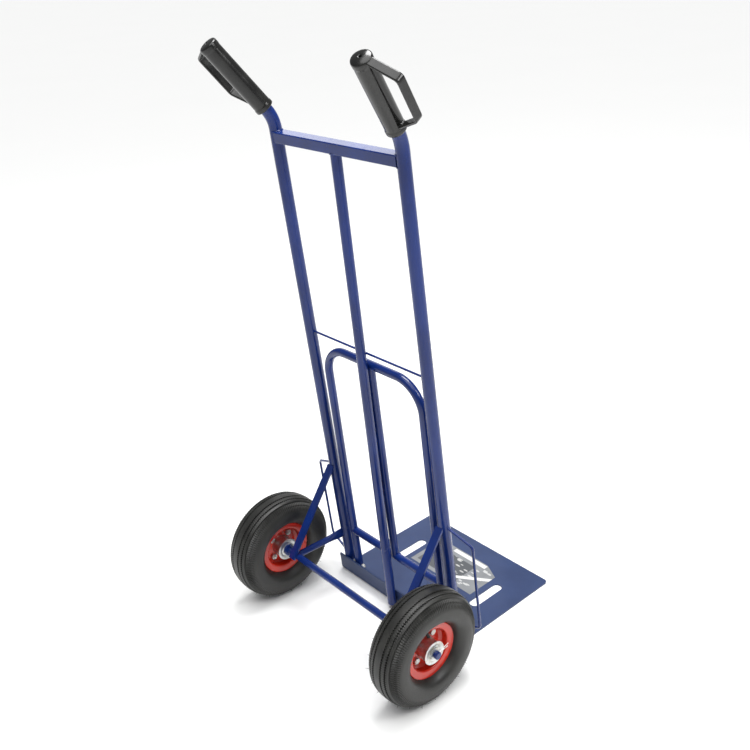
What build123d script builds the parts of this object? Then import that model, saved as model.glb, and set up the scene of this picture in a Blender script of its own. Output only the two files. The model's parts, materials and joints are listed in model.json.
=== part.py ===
from build123d import *
from math import asin, atan2, cos, radians, sin, sqrt, tan
import os

# Two-wheeled hand truck with a fixed toe plate and a tubular toe frame that folds up
# between the uprights. Millimetres, +Z up, +Y towards the load, +X to the user's right.
# The origin is on the floor, in the middle of the footprint.

# ---- driving dimensions: the frame as a whole -------------------------------------
lean_angle = 4.7  # degrees that the uprights lean back towards the user
upright_spacing = 370.0  # between the centre lines of the two uprights
tyre_to_foot = 34.8  # from the tyres' front forward to the foot of the upright line
foot_to_plate_front = 299.2  # from there to the toe plate's front edge
upright_to_wheel = 67.5  # from an upright's centre line out to the middle of its tyre
crossbar_below_bend = 36.0  # from the handles' corner down to the crossbar's centre line

# ---- tubes, bars and rods ---------------------------------------------------------
upright_diameter = 26.0
upright_wall = 2.0
handle_bend_along = 1154.0  # along the uprights to the corner where the handles turn back
handle_bend_radius = 75.0
handle_back_angle = 31.2  # degrees that the handles turn back from the uprights
handle_splay_angle = 10.7  # degrees that the handles open outwards
handle_length = 180.0  # from that corner to the tube's end inside the grip
crossbar_height = 22.0
crossbar_depth = 26.0
crossbar_wall = 1.5
crossbar_cope = 7.0  # how far the crossbar's ends stop short of the uprights' centre lines
crossbar_corner_radius = 2.25
strut_diameter = 21.5
strut_wall = 1.5
strut_top_back = 2.0  # behind the uprights' plane at the crossbar
strut_foot_height = 17.0  # along the uprights to the strut's open lower end
weld_gap = 0.05  # between two round parts that a weld joins side by side
stop_rod_diameter = 5.0
stop_rod_along = 685.0

# ---- toe plate --------------------------------------------------------------------
plate_side_margin = 20.0  # outside the uprights' centre lines
plate_thickness = 4.0
plate_flange_height = 50.0
plate_flange_gap = 0.05  # between the flange and the uprights' backs
plate_bend_radius = 3.0  # inside radius between the plate and its rear flange
plate_corner_radius = 10.0
strap_slot_length = 103.0
strap_slot_width = 25.0
strap_slot_spacing = 264.0
strap_slot_to_front = 144.0  # from the slots' middle to the plate's front edge
label_width = 208.0
label_depth = 112.0
label_thickness = 0.3
label_to_front = 58.0
label_corner_cut = 44.0

# ---- wheel guards and braces ------------------------------------------------------
guard_rod_diameter = 6.0
guard_stand_off = 72.0  # from an upright's centre line out to the guard's upright run
guard_forward = 8.0  # in front of the uprights' plane
guard_top_along = 325.0
guard_top_corner_along = 300.0
guard_low_corner_along = 74.0
guard_bottom_along = 56.0
guard_bend_radius = 12.0
brace_inset = 2.0  # from an upright's centre line in to both braces of that side
upper_brace_width = 20.0
upper_brace_thickness = 5.0
upper_brace_top_along = 326.0
upper_brace_tail = 10.0  # how far the flat bar runs on past the axle
lower_brace_diameter = 16.0
lower_brace_wall = 1.5
lower_brace_paddle_height = 26.0
lower_brace_paddle_thickness = 6.0
lower_brace_paddle_length = 14.0
lower_brace_taper_length = 34.0
lower_brace_top_along = 126.0

# ---- folding toe frame ------------------------------------------------------------
toe_tube_diameter = 19.2
toe_tube_wall = 1.5
toe_brace_step = 0.2  # how much thinner the cross tube is than the loop
toe_strut_step = 0.4  # how much thinner the strut is than the loop
toe_leg_gap = 11.4  # between a leg and the upright beside it
toe_frame_along = 654.4  # along the uprights to the top tube's centre when folded up
toe_bend_radius = 68.0
toe_cross_along = 143.0
toe_leg_tail = 8.0  # how far the legs run on below the pivot
toe_rest_gap = 0.3  # between the folded frame and the centre strut
pivot_along = 30.0
pivot_bolt_diameter = 8.0
pivot_clearance = 0.08  # all round, between the bolt and the leg's holes
pivot_head_across_flats = 13.0
pivot_head_height = 5.5
pivot_nut_height = 8.0
pivot_spacer_diameter = 14.0
side_gap = 0.3  # beside a part that turns

# ---- wheels -----------------------------------------------------------------------
tyre_diameter = 260.0
tyre_width = 88.0
tyre_tread_wall = 9.0
tyre_bead_width = 7.5
tyre_side_wall = 6.0
tyre_bead_chamfer = 1.5
tread_crown = 3.0
tread_share = 0.56  # of the half width, where the tread meets the shoulder
bulge_share = 0.87  # of the half width, where the sidewall and shoulder arcs pass
inner_bulge_share = 0.86
shoulder_share = 0.73  # of the tyre's radius, at its widest place
shoulder_lift = 3.0  # how far the shoulder's arc passes above the middle of its ends
sidewall_lift = 9.0  # above the rim's lip, where the sidewall's arc passes
inner_sidewall_lift = 8.0
bead_overhang = 1.0  # how far the bead's toe stops below the rim's lip
tread_groove_width = 2.5
tread_groove_depth = 3.0
tread_groove_spacing = 11.0
tyre_rim_gap = 0.2  # beside the rim's flange
inner_tube_wall = 2.0
inner_tube_foot_gap = 2.4  # above the rim's lip
inner_tube_gap = 1.5  # under the tread
inner_tube_side_gap = 6.0
rim_sheet = 2.2
rim_disc_radius = 42.0
rim_seat_radius = 49.5
rim_lip_radius = 64.0
rim_half_width = 25.0
rim_dish_run = 5.0  # across the wheel from the disc's plane to the barrel
rim_flange_lean = 1.0  # how far the flange leans outwards
rim_bend_outside = 1.2
rim_bend_inside = 0.7
rim_bolt_circle = 68.0
rim_bolt_count = 4
rim_bolt_diameter = 8.0
rim_bolt_head_across_flats = 13.0
rim_bolt_head_height = 5.3
rim_nut_height = 6.5
rim_bolt_tail = 3.0
valve_diameter = 8.0
valve_hole_clearance = 0.2
valve_inside = 17.0  # from the rim's barrel back to the inner tube
valve_outside = 21.0
valve_across = 8.0  # from the wheel's middle plane to where the valve leaves the rim
valve_tilt = 60.0  # degrees from the axle direction
hub_diameter = 48.0
hub_length = 65.0
hub_shield_diameter = 54.0
hub_shield_thickness = 1.5
hub_shield_clearance = 1.0  # around the axle
bearing_outside = 40.0
bearing_width = 12.0
bearing_ring_thickness = 3.4
bearing_recess = 1.5
bearing_ball_count = 9
bearing_running_gap = 0.1
axle_diameter = 17.0
axle_overhang = 46.5  # past the tyres' middles, at each end
axle_end_chamfer = 1.5
hub_washer_diameter = 30.0
hub_washer_thickness = 3.0
collar_diameter = 27.0
collar_length = 6.0
cotter_diameter = 3.2
cotter_tail = 14.0  # from the axle's centre to the pin's rear end
cotter_neck = 15.0  # from the axle's centre to the pin's eye
cotter_eye_radius = 4.2
cotter_rise = 10.0  # degrees that the pin's front end points up

# ---- grips ------------------------------------------------------------------------
grip_start = 25.0  # from the handle's corner to the grip's open end
grip_length = 165.0
grip_diameter = 37.0
grip_mouth_diameter = 39.0
grip_mouth_length = 9.0
grip_cap_diameter = 38.0
grip_cap_length = 14.0
grip_dome = 5.0
grip_vent_diameter = 5.0
guard_band_reach = 72.0  # from the grip's axis to the knuckle guard's outer face
guard_band_width = 18.0
guard_band_thickness = 5.0
guard_band_low = 14.0  # along the grip to the guard's lower root
guard_band_low_bend = 48.0
guard_band_high_bend = 138.0
guard_band_high = 158.0
guard_band_corner = 9.0

# ---- reference lines and planes ---------------------------------------------------
tyre_radius = tyre_diameter / 2
axle_to_foot = tyre_radius + tyre_to_foot
axle_to_plate_front = axle_to_foot + foot_to_plate_front
wheel_track = upright_spacing + 2 * upright_to_wheel
axle_length = wheel_track + 2 * axle_overhang
crossbar_along = handle_bend_along - crossbar_below_bend
crossbar_reach = upright_spacing / 2 - crossbar_cope
plate_width = upright_spacing + 2 * plate_side_margin
guard_reach = upright_spacing / 2 + guard_stand_off
brace_across = upright_spacing / 2 - brace_inset
toe_leg_spacing = upright_spacing - upright_diameter - toe_tube_diameter - 2 * toe_leg_gap
toe_brace_diameter = toe_tube_diameter - toe_brace_step
toe_strut_diameter = toe_tube_diameter - toe_strut_step
upright_radius = upright_diameter / 2
strut_radius = strut_diameter / 2
toe_tube_radius = toe_tube_diameter / 2
axle_radius = axle_diameter / 2
axle_y = (tyre_radius - axle_to_plate_front) / 2
foot_y = axle_y + axle_to_foot
plate_front_y = axle_y + axle_to_plate_front
along_axis = Vector(0, -sin(radians(lean_angle)), cos(radians(lean_angle)))
rear_axis = Vector(0, -cos(radians(lean_angle)), -sin(radians(lean_angle)))


def frame_point(across, rear, along):
    """Point given across the truck, behind the uprights' plane and along the uprights."""
    return Vector(across, foot_y, 0) + rear_axis * rear + along_axis * along


def cross_plane(across, rear, along):
    """Plane through a frame point, square to the uprights, with +X across the truck."""
    return Plane(origin=frame_point(across, rear, along), x_dir=(1, 0, 0), z_dir=along_axis)


def rod_along(start, end, diameter):
    """Solid round bar between two points."""
    with BuildPart() as rod:
        with BuildSketch(Plane(origin=start, z_dir=end - start)):
            Circle(diameter / 2)
        extrude(amount=(end - start).length)
    return rod.part


def tube_along(start, end, diameter, wall):
    """Round tube between two points."""
    with BuildPart() as tube:
        with BuildSketch(Plane(origin=start, z_dir=end - start)):
            Circle(diameter / 2)
            Circle(diameter / 2 - wall, mode=Mode.SUBTRACT)
        extrude(amount=(end - start).length)
    return tube.part


def hexagon_bar(start, end, across_flats):
    """Hexagonal bar between two points, for bolt heads and nuts."""
    with BuildPart() as bar:
        with BuildSketch(Plane(origin=start, z_dir=end - start)):
            RegularPolygon(across_flats / 2, 6, major_radius=False)
        extrude(amount=(end - start).length)
    return bar.part


os.makedirs("parts", exist_ok=True)

# ---- toe plate: one bent sheet, flat on the floor, its flange behind the uprights --
flange_front = upright_radius + plate_flange_gap
flange_top = frame_point(0, flange_front, plate_flange_height)
flange_foot = flange_top + along_axis * ((plate_thickness - flange_top.Z) / along_axis.Z)
with BuildPart() as toe_plate:
    with BuildSketch(Plane(origin=(-plate_width / 2, 0, 0), x_dir=(0, 1, 0), z_dir=(1, 0, 0))):
        with BuildLine():
            inside = FilletPolyline(
                (plate_front_y, plate_thickness),
                (flange_foot.Y, plate_thickness),
                (flange_top.Y, flange_top.Z),
                radius=plate_bend_radius,
            )
            outside_top = flange_top + rear_axis * plate_thickness
            outside_foot_y = outside_top.Y - outside_top.Z * along_axis.Y / along_axis.Z
            outside = FilletPolyline(
                (outside_top.Y, outside_top.Z),
                (outside_foot_y, 0),
                (plate_front_y, 0),
                radius=plate_bend_radius + plate_thickness,
            )
            Line(inside @ 1, outside @ 0)
            Line(outside @ 1, inside @ 0)
        make_face()
    extrude(amount=plate_width)
    fillet(
        toe_plate.edges().filter_by(Axis.Z).group_by(Axis.Y)[-1],
        radius=plate_corner_radius,
    )
    with BuildSketch(Plane.XY):
        with Locations((0, plate_front_y - strap_slot_to_front)):
            with GridLocations(strap_slot_spacing, 0, 2, 1):
                SlotOverall(strap_slot_length, strap_slot_width, rotation=90)
    extrude(amount=plate_thickness, mode=Mode.SUBTRACT)
toe_plate.part.label = "toe_plate"
export_step(toe_plate.part, "parts/toe_plate.step")

# ---- uprights: one bent tube each, from the toe plate to the end of the handle ----
handle_direction = (
    Vector(tan(radians(handle_splay_angle)), 0, 0)
    + rear_axis * sin(radians(handle_back_angle))
    + along_axis * cos(radians(handle_back_angle))
).normalized()
handle_corner = frame_point(upright_spacing / 2, 0, handle_bend_along)
upright_line_low = frame_point(upright_spacing / 2, 0, -upright_diameter)
upright_line_high = frame_point(upright_spacing / 2, 0, handle_bend_along)
upright_envelope = rod_along(upright_line_low, upright_line_high, upright_diameter)
left_upright_envelope = mirror(upright_envelope, about=Plane.YZ)
handle_envelope = rod_along(
    handle_corner, handle_corner + handle_direction * handle_length, upright_diameter
)
pivot_centre = frame_point(0, 0, pivot_along)
pivot_shank = rod_along(
    pivot_centre - Vector(wheel_track / 2, 0, 0),
    pivot_centre + Vector(wheel_track / 2, 0, 0),
    pivot_bolt_diameter,
)

with BuildPart() as upright_right:
    with BuildLine() as upright_path:
        FilletPolyline(
            upright_line_low,
            handle_corner,
            handle_corner + handle_direction * handle_length,
            radius=handle_bend_radius,
        )
    with BuildSketch(Plane(origin=upright_line_low, z_dir=along_axis)) as upright_section:
        Circle(upright_radius)
        Circle(upright_radius - upright_wall, mode=Mode.SUBTRACT)
    sweep(path=upright_path.wire())
    split(bisect_by=Plane.XY.offset(plate_thickness), keep=Keep.TOP)
    add(toe_plate.part, mode=Mode.SUBTRACT)
    add(pivot_shank, mode=Mode.SUBTRACT)
upright_right.part.label = "upright_right"
export_step(upright_right.part, "parts/upright_right.step")

with BuildPart() as upright_left:
    mirror(upright_right.part, about=Plane.YZ)
upright_left.part.label = "upright_left"
export_step(upright_left.part, "parts/upright_left.step")

# ---- crossbar: rectangular tube coped onto both uprights --------------------------
with BuildPart() as crossbar:
    with BuildSketch(
        Plane(
            origin=frame_point(-crossbar_reach, 0, crossbar_along),
            x_dir=rear_axis,
            z_dir=(1, 0, 0),
        )
    ):
        RectangleRounded(crossbar_depth, crossbar_height, crossbar_corner_radius)
        Rectangle(
            crossbar_depth - 2 * crossbar_wall,
            crossbar_height - 2 * crossbar_wall,
            mode=Mode.SUBTRACT,
        )
    extrude(amount=2 * crossbar_reach)
    add(upright_envelope, mode=Mode.SUBTRACT)
    add(left_upright_envelope, mode=Mode.SUBTRACT)
crossbar.part.label = "crossbar"
export_step(crossbar.part, "parts/crossbar.step")

# ---- centre strut: from under the crossbar to the back of the toe plate's flange ---
strut_top_along = crossbar_along - crossbar_height / 2
strut_back_at_flange = flange_front + plate_thickness + strut_radius + weld_gap
strut_run = strut_top_along - plate_flange_height
strut_slope = (strut_back_at_flange - strut_top_back) / strut_run


def strut_back(along):
    """How far the strut's centre line is behind the uprights' plane."""
    return strut_top_back + strut_slope * (strut_top_along - along)


strut_low_end = frame_point(0, strut_back(strut_foot_height), strut_foot_height)
strut_high_along = strut_top_along + crossbar_height
strut_high_end = frame_point(0, strut_back(strut_high_along), strut_high_along)
with BuildPart() as centre_strut:
    add(tube_along(strut_low_end, strut_high_end, strut_diameter, strut_wall))
    split(bisect_by=cross_plane(0, 0, strut_top_along), keep=Keep.BOTTOM)
centre_strut.part.label = "centre_strut"
export_step(centre_strut.part, "parts/centre_strut.step")

# ---- stop rod: thin cross rod between the uprights' inner sides -------------------
stop_rod_reach = upright_spacing / 2
stop_rod_back = strut_back(stop_rod_along) - strut_radius - stop_rod_diameter / 2 - weld_gap
with BuildPart() as stop_rod:
    add(
        rod_along(
            frame_point(-stop_rod_reach, stop_rod_back, stop_rod_along),
            frame_point(stop_rod_reach, stop_rod_back, stop_rod_along),
            stop_rod_diameter,
        )
    )
    add(upright_envelope, mode=Mode.SUBTRACT)
    add(left_upright_envelope, mode=Mode.SUBTRACT)
stop_rod.part.label = "stop_rod"
export_step(stop_rod.part, "parts/stop_rod.step")

# ---- blank label stuck on the toe plate, with no lettering -----------------------
with BuildPart() as plate_label:
    label_centre_y = plate_front_y - label_to_front - label_depth / 2
    with BuildSketch(Plane.XY.offset(plate_thickness)):
        with Locations((0, label_centre_y)):
            Rectangle(label_width, label_depth)
    extrude(amount=label_thickness)
    chamfer(
        plate_label.edges().filter_by(Axis.Z).group_by(Axis.X)[-1].sort_by(Axis.Y)[-1],
        length=label_corner_cut / 2,
        length2=label_corner_cut,
    )
plate_label.part.label = "plate_label"
export_step(plate_label.part, "parts/plate_label.step")

# ---- wheel guards: bent rods from the uprights' outer sides, in front of the tyres --
guard_root = upright_spacing / 2 + upright_radius
with BuildPart() as wheel_guard_right:
    with BuildLine() as guard_path:
        FilletPolyline(
            frame_point(guard_root, 0, guard_top_along),
            frame_point(guard_reach, -guard_forward, guard_top_corner_along),
            frame_point(guard_reach, -guard_forward, guard_low_corner_along),
            frame_point(guard_root, 0, guard_bottom_along),
            radius=guard_bend_radius,
        )
    with BuildSketch(Plane(origin=guard_path.wire() @ 0, z_dir=guard_path.wire() % 0)):
        Circle(guard_rod_diameter / 2)
    sweep(path=guard_path.wire())
    add(upright_envelope, mode=Mode.SUBTRACT)
wheel_guard_right.part.label = "wheel_guard_right"
export_step(wheel_guard_right.part, "parts/wheel_guard_right.step")

with BuildPart() as wheel_guard_left:
    mirror(wheel_guard_right.part, about=Plane.YZ)
wheel_guard_left.part.label = "wheel_guard_left"
export_step(wheel_guard_left.part, "parts/wheel_guard_left.step")

# ---- axle: one bar through both wheels, with a cotter hole near each end ----------
axle_centre = Vector(0, axle_y, tyre_radius)
across = Vector(1, 0, 0)
shield_face = hub_length / 2 + hub_shield_thickness
washer_inner_face = wheel_track / 2 + shield_face + side_gap
cotter_across = washer_inner_face + hub_washer_thickness + cotter_diameter / 2 + side_gap
cotter_centre = axle_centre + across * cotter_across
cotter_direction = Vector(0, cos(radians(cotter_rise)), sin(radians(cotter_rise)))
cotter_shank = rod_along(
    cotter_centre - cotter_direction * cotter_tail,
    cotter_centre + cotter_direction * cotter_neck,
    cotter_diameter,
)
left_cotter_shank = mirror(cotter_shank, about=Plane.YZ)
with BuildPart() as axle:
    with BuildSketch(Plane.YZ.offset(-axle_length / 2)):
        with Locations((axle_y, tyre_radius)):
            Circle(axle_radius)
    extrude(amount=axle_length)
    chamfer(axle.edges().group_by(Axis.X)[0], length=axle_end_chamfer)
    chamfer(axle.edges().group_by(Axis.X)[-1], length=axle_end_chamfer)
    add(cotter_shank, mode=Mode.SUBTRACT)
    add(left_cotter_shank, mode=Mode.SUBTRACT)
axle.part.label = "axle"
export_step(axle.part, "parts/axle.step")
axle_envelope = rod_along(
    axle_centre - across * axle_length / 2, axle_centre + across * axle_length / 2, axle_diameter
)

# ---- upper braces: flat bars from behind the axle up to the backs of the uprights --
brace_top = frame_point(brace_across, upright_radius, upper_brace_top_along)
axle_to_brace_top = Vector(0, brace_top.Y - axle_y, brace_top.Z - tyre_radius)
brace_offset = axle_radius + upper_brace_thickness / 2
brace_rise = atan2(axle_to_brace_top.Z, axle_to_brace_top.Y) - asin(
    brace_offset / axle_to_brace_top.length
)
brace_direction = Vector(0, cos(brace_rise), sin(brace_rise))
brace_normal = Vector(0, -sin(brace_rise), cos(brace_rise))
brace_length = sqrt(axle_to_brace_top.length**2 - brace_offset**2)
brace_tangent = brace_top - brace_direction * brace_length
with BuildPart() as upper_brace_right:
    brace_start = brace_tangent - brace_direction * upper_brace_tail
    with BuildSketch(Plane(origin=brace_start, x_dir=(1, 0, 0), z_dir=brace_direction)):
        Rectangle(upper_brace_width, upper_brace_thickness)
    extrude(amount=brace_length + upper_brace_tail + upright_diameter)
    brace_end_plane = Plane(
        origin=frame_point(brace_across, upright_radius, upper_brace_top_along),
        x_dir=(1, 0, 0),
        z_dir=rear_axis,
    )
    split(bisect_by=brace_end_plane, keep=Keep.TOP)
upper_brace_right.part.label = "upper_brace_right"
export_step(upper_brace_right.part, "parts/upper_brace_right.step")

with BuildPart() as upper_brace_left:
    mirror(upper_brace_right.part, about=Plane.YZ)
upper_brace_left.part.label = "upper_brace_left"
export_step(upper_brace_left.part, "parts/upper_brace_left.step")

# ---- lower braces: tubes from the axle, pressed flat where they meet the uprights ---
low_brace_front = frame_point(brace_across, upright_radius, lower_brace_top_along)
low_brace_rear = axle_centre + across * brace_across
low_brace_run = low_brace_front - low_brace_rear
low_brace_direction = low_brace_run.normalized()
flat_start = low_brace_front - low_brace_direction * lower_brace_paddle_length
round_end = flat_start - low_brace_direction * lower_brace_taper_length
with BuildPart() as lower_brace_right:
    add(tube_along(low_brace_rear, round_end, lower_brace_diameter, lower_brace_wall))
    with BuildSketch(Plane(origin=round_end, x_dir=(1, 0, 0), z_dir=low_brace_direction)):
        Circle(lower_brace_diameter / 2)
    with BuildSketch(Plane(origin=flat_start, x_dir=(1, 0, 0), z_dir=low_brace_direction)):
        Ellipse(lower_brace_paddle_thickness / 2, lower_brace_paddle_height / 2)
    loft()
    with BuildSketch(Plane(origin=flat_start, x_dir=(1, 0, 0), z_dir=low_brace_direction)):
        Ellipse(lower_brace_paddle_thickness / 2, lower_brace_paddle_height / 2)
    extrude(amount=lower_brace_paddle_length + upright_radius)
    add(upright_envelope, mode=Mode.SUBTRACT)
    add(axle_envelope, mode=Mode.SUBTRACT)
    split(
        bisect_by=Plane(origin=low_brace_rear, x_dir=(1, 0, 0), z_dir=low_brace_direction),
        keep=Keep.TOP,
    )
    split(
        bisect_by=Plane(
            origin=frame_point(0, 0, lower_brace_top_along), x_dir=(1, 0, 0), z_dir=rear_axis
        ),
        keep=Keep.TOP,
    )
lower_brace_right.part.label = "lower_brace_right"
export_step(lower_brace_right.part, "parts/lower_brace_right.step")

with BuildPart() as lower_brace_left:
    mirror(lower_brace_right.part, about=Plane.YZ)
lower_brace_left.part.label = "lower_brace_left"
export_step(lower_brace_left.part, "parts/lower_brace_left.step")

# ---- folding toe frame: a bent tube loop, a cross tube and a short strut -----------
toe_rest_back = (
    strut_back(toe_frame_along)
    - (strut_radius + toe_tube_radius + toe_rest_gap) * sqrt(1 + strut_slope**2)
)
toe_run = toe_frame_along - pivot_along
toe_tilt = atan2(toe_rest_back, toe_run)
toe_up = rear_axis * sin(toe_tilt) + along_axis * cos(toe_tilt)
toe_reach = toe_run / cos(toe_tilt)
half_legs = toe_leg_spacing / 2


def toe_point(across_truck, up_frame):
    """Point in the toe frame's own plane, measured from the pivot axis."""
    return pivot_centre + Vector(across_truck, 0, 0) + toe_up * up_frame


pivot_hole = rod_along(
    pivot_centre - across * wheel_track / 2,
    pivot_centre + across * wheel_track / 2,
    pivot_bolt_diameter + 2 * pivot_clearance,
)
with BuildPart() as toe_frame_loop:
    with BuildLine() as toe_path:
        FilletPolyline(
            toe_point(-half_legs, -toe_leg_tail),
            toe_point(-half_legs, toe_reach),
            toe_point(half_legs, toe_reach),
            toe_point(half_legs, -toe_leg_tail),
            radius=toe_bend_radius,
        )
    with BuildSketch(Plane(origin=toe_path.wire() @ 0, z_dir=toe_up)):
        Circle(toe_tube_radius)
        Circle(toe_tube_radius - toe_tube_wall, mode=Mode.SUBTRACT)
    sweep(path=toe_path.wire())
    add(pivot_hole, mode=Mode.SUBTRACT)
toe_frame_loop.part.label = "toe_frame_loop"
export_step(toe_frame_loop.part, "parts/toe_frame_loop.step")

toe_cross_up = (toe_cross_along - pivot_along) / cos(toe_tilt)
leg_envelopes = [
    rod_along(
        toe_point(side * half_legs, 0),
        toe_point(side * half_legs, toe_reach / 2),
        toe_tube_diameter,
    )
    for side in (-1, 1)
]
with BuildPart() as toe_frame_cross:
    add(
        tube_along(
            toe_point(-half_legs, toe_cross_up),
            toe_point(half_legs, toe_cross_up),
            toe_brace_diameter,
            toe_tube_wall,
        )
    )
    add(leg_envelopes, mode=Mode.SUBTRACT)
toe_frame_cross.part.label = "toe_frame_cross"
export_step(toe_frame_cross.part, "parts/toe_frame_cross.step")

toe_rail_envelopes = [
    rod_along(
        toe_point(-half_legs / 2, height), toe_point(half_legs / 2, height), rail_diameter
    )
    for height, rail_diameter in (
        (toe_cross_up, toe_brace_diameter),
        (toe_reach, toe_tube_diameter),
    )
]
toe_strut_foot = toe_cross_up + toe_brace_diameter / 4
with BuildPart() as toe_frame_strut:
    add(
        tube_along(
            toe_point(0, toe_strut_foot),
            toe_point(0, toe_reach),
            toe_strut_diameter,
            toe_tube_wall,
        )
    )
    add(toe_rail_envelopes, mode=Mode.SUBTRACT)
toe_frame_strut.part.label = "toe_frame_strut"
export_step(toe_frame_strut.part, "parts/toe_frame_strut.step")

# ---- pivot bolts, spacers and nuts of the toe frame -------------------------------
upright_outer = upright_spacing / 2 + upright_radius
upright_inner = upright_spacing / 2 - upright_radius
leg_outer = half_legs + toe_tube_radius
leg_inner = half_legs - toe_tube_radius
pivot_nut_face = leg_inner - side_gap
pivot_bolt_end = pivot_nut_face - pivot_nut_height - 2
with BuildPart() as pivot_bolts:
    for side in (-1, 1):
        out = across * side
        head = hexagon_bar(
            pivot_centre + out * upright_outer,
            pivot_centre + out * (upright_outer + pivot_head_height),
            pivot_head_across_flats,
        )
        shank = rod_along(
            pivot_centre + out * pivot_bolt_end,
            pivot_centre + out * upright_outer,
            pivot_bolt_diameter,
        )
        add(head)
        add(shank)
pivot_bolts.part.label = "pivot_bolts"
export_step(pivot_bolts.part, "parts/pivot_bolts.step")

with BuildPart() as pivot_spacers:
    for side in (-1, 1):
        out = across * side
        add(
            tube_along(
                pivot_centre + out * (leg_outer + side_gap),
                pivot_centre + out * upright_inner,
                pivot_spacer_diameter,
                (pivot_spacer_diameter - pivot_bolt_diameter) / 2,
            )
        )
pivot_spacers.part.label = "pivot_spacers"
export_step(pivot_spacers.part, "parts/pivot_spacers.step")

with BuildPart() as pivot_nuts:
    for side in (-1, 1):
        out = across * side
        add(
            hexagon_bar(
                pivot_centre + out * (pivot_nut_face - pivot_nut_height),
                pivot_centre + out * pivot_nut_face,
                pivot_head_across_flats,
            )
        )
    add(pivot_shank, mode=Mode.SUBTRACT)
pivot_nuts.part.label = "pivot_nuts"
export_step(pivot_nuts.part, "parts/pivot_nuts.step")

# ---- wheels: drawn at the right-hand side, then mirrored --------------------------
wheel_centre = axle_centre + across * wheel_track / 2
wheel_axis = Axis(origin=wheel_centre, direction=(1, 0, 0))
wheel_section = Plane(origin=wheel_centre, x_dir=(1, 0, 0), z_dir=(0, -1, 0))
wheel_middle = Plane.YZ.offset(wheel_track / 2)
half_tyre = tyre_width / 2
sheet_half = rim_sheet / 2
barrel_radius = rim_seat_radius + sheet_half
flange_across = rim_half_width - rim_sheet * 2
bead_across = flange_across - tyre_rim_gap
bead_toe = bead_across - tyre_bead_width
lip_radius = rim_lip_radius + sheet_half
inside_radius = tyre_radius - tyre_tread_wall
shoulder_radius = tyre_radius * shoulder_share
inner_tube_height = inside_radius - inner_tube_gap - lip_radius - inner_tube_foot_gap
tread_edge_radius = tyre_radius - tread_crown

with BuildPart() as tyre_right:
    with BuildSketch(wheel_section):
        with BuildLine():
            sidewall = ThreePointArc(
                (bead_across, lip_radius + tyre_bead_chamfer),
                (half_tyre * bulge_share, lip_radius + sidewall_lift),
                (half_tyre, shoulder_radius),
            )
            shoulder = ThreePointArc(
                sidewall @ 1,
                (
                    half_tyre * bulge_share,
                    (shoulder_radius + tread_edge_radius) / 2 + shoulder_lift,
                ),
                (half_tyre * tread_share, tread_edge_radius),
            )
            tread = ThreePointArc(
                shoulder @ 1, (0, tyre_radius), (-half_tyre * tread_share, tread_edge_radius)
            )
            bead = Polyline(
                (bead_toe + tyre_bead_chamfer, lip_radius - bead_overhang),
                (bead_toe, barrel_radius),
                (bead_across - tyre_bead_chamfer, barrel_radius),
                (bead_across, barrel_radius + tyre_bead_chamfer),
                sidewall @ 0,
            )
            inner_side = ThreePointArc(
                bead @ 0,
                (
                    half_tyre * inner_bulge_share - tyre_side_wall,
                    lip_radius + inner_sidewall_lift + tyre_side_wall,
                ),
                (half_tyre - tyre_side_wall, shoulder_radius),
            )
            crown = ThreePointArc(
                inner_side @ 1,
                (0, inside_radius),
                (-half_tyre + tyre_side_wall, shoulder_radius),
            )
            mirror([sidewall, shoulder, bead, inner_side], about=Plane.YZ)
        make_face()
    revolve(axis=wheel_axis)
    with BuildSketch(wheel_section):
        with Locations((0, tyre_radius)):
            with GridLocations(tread_groove_spacing, 0, 4, 1):
                Rectangle(tread_groove_width, 2 * tread_groove_depth)
    revolve(axis=wheel_axis, mode=Mode.SUBTRACT)
tyre_right.part.label = "tyre_right"

with BuildPart() as inner_tube_right:
    with BuildSketch(wheel_section):
        with Locations((0, inside_radius - inner_tube_gap - inner_tube_height / 2)):
            tube_half_width = half_tyre - tyre_side_wall - inner_tube_side_gap
            Ellipse(tube_half_width, inner_tube_height / 2)
            Ellipse(
                tube_half_width - inner_tube_wall,
                inner_tube_height / 2 - inner_tube_wall,
                mode=Mode.SUBTRACT,
            )
    revolve(axis=wheel_axis)
inner_tube_right.part.label = "inner_tube_right"

# A rim half is one pressed sheet: disc, dished barrel, bead seat, flange and lip.
hub_radius = hub_diameter / 2
bolt_circle_plane = Plane(origin=wheel_centre, x_dir=(0, 0, 1), z_dir=(1, 0, 0))
with BuildPart() as rim_half:
    with BuildSketch(wheel_section):
        with BuildLine():
            sheet_back = FilletPolyline(
                (0, hub_radius),
                (0, rim_disc_radius + sheet_half),
                (rim_dish_run, barrel_radius),
                (flange_across, barrel_radius),
                (flange_across + rim_flange_lean, lip_radius),
                (rim_half_width, lip_radius),
                radius=rim_bend_outside,
            )
            sheet_face = FilletPolyline(
                (rim_half_width, lip_radius - rim_sheet),
                (flange_across + rim_flange_lean + rim_sheet, lip_radius - rim_sheet),
                (flange_across + rim_sheet, rim_seat_radius - sheet_half),
                (rim_dish_run + sheet_half, rim_seat_radius - sheet_half),
                (rim_sheet, rim_disc_radius - sheet_half),
                (rim_sheet, hub_radius),
                radius=rim_bend_inside,
            )
            Line(sheet_back @ 1, sheet_face @ 0)
            Line(sheet_face @ 1, sheet_back @ 0)
        make_face()
    revolve(axis=wheel_axis)
    with Locations(bolt_circle_plane):
        with PolarLocations(rim_bolt_circle / 2, rim_bolt_count, start_angle=45):
            Cylinder(rim_bolt_diameter / 2, 4 * rim_sheet, mode=Mode.SUBTRACT)

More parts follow.
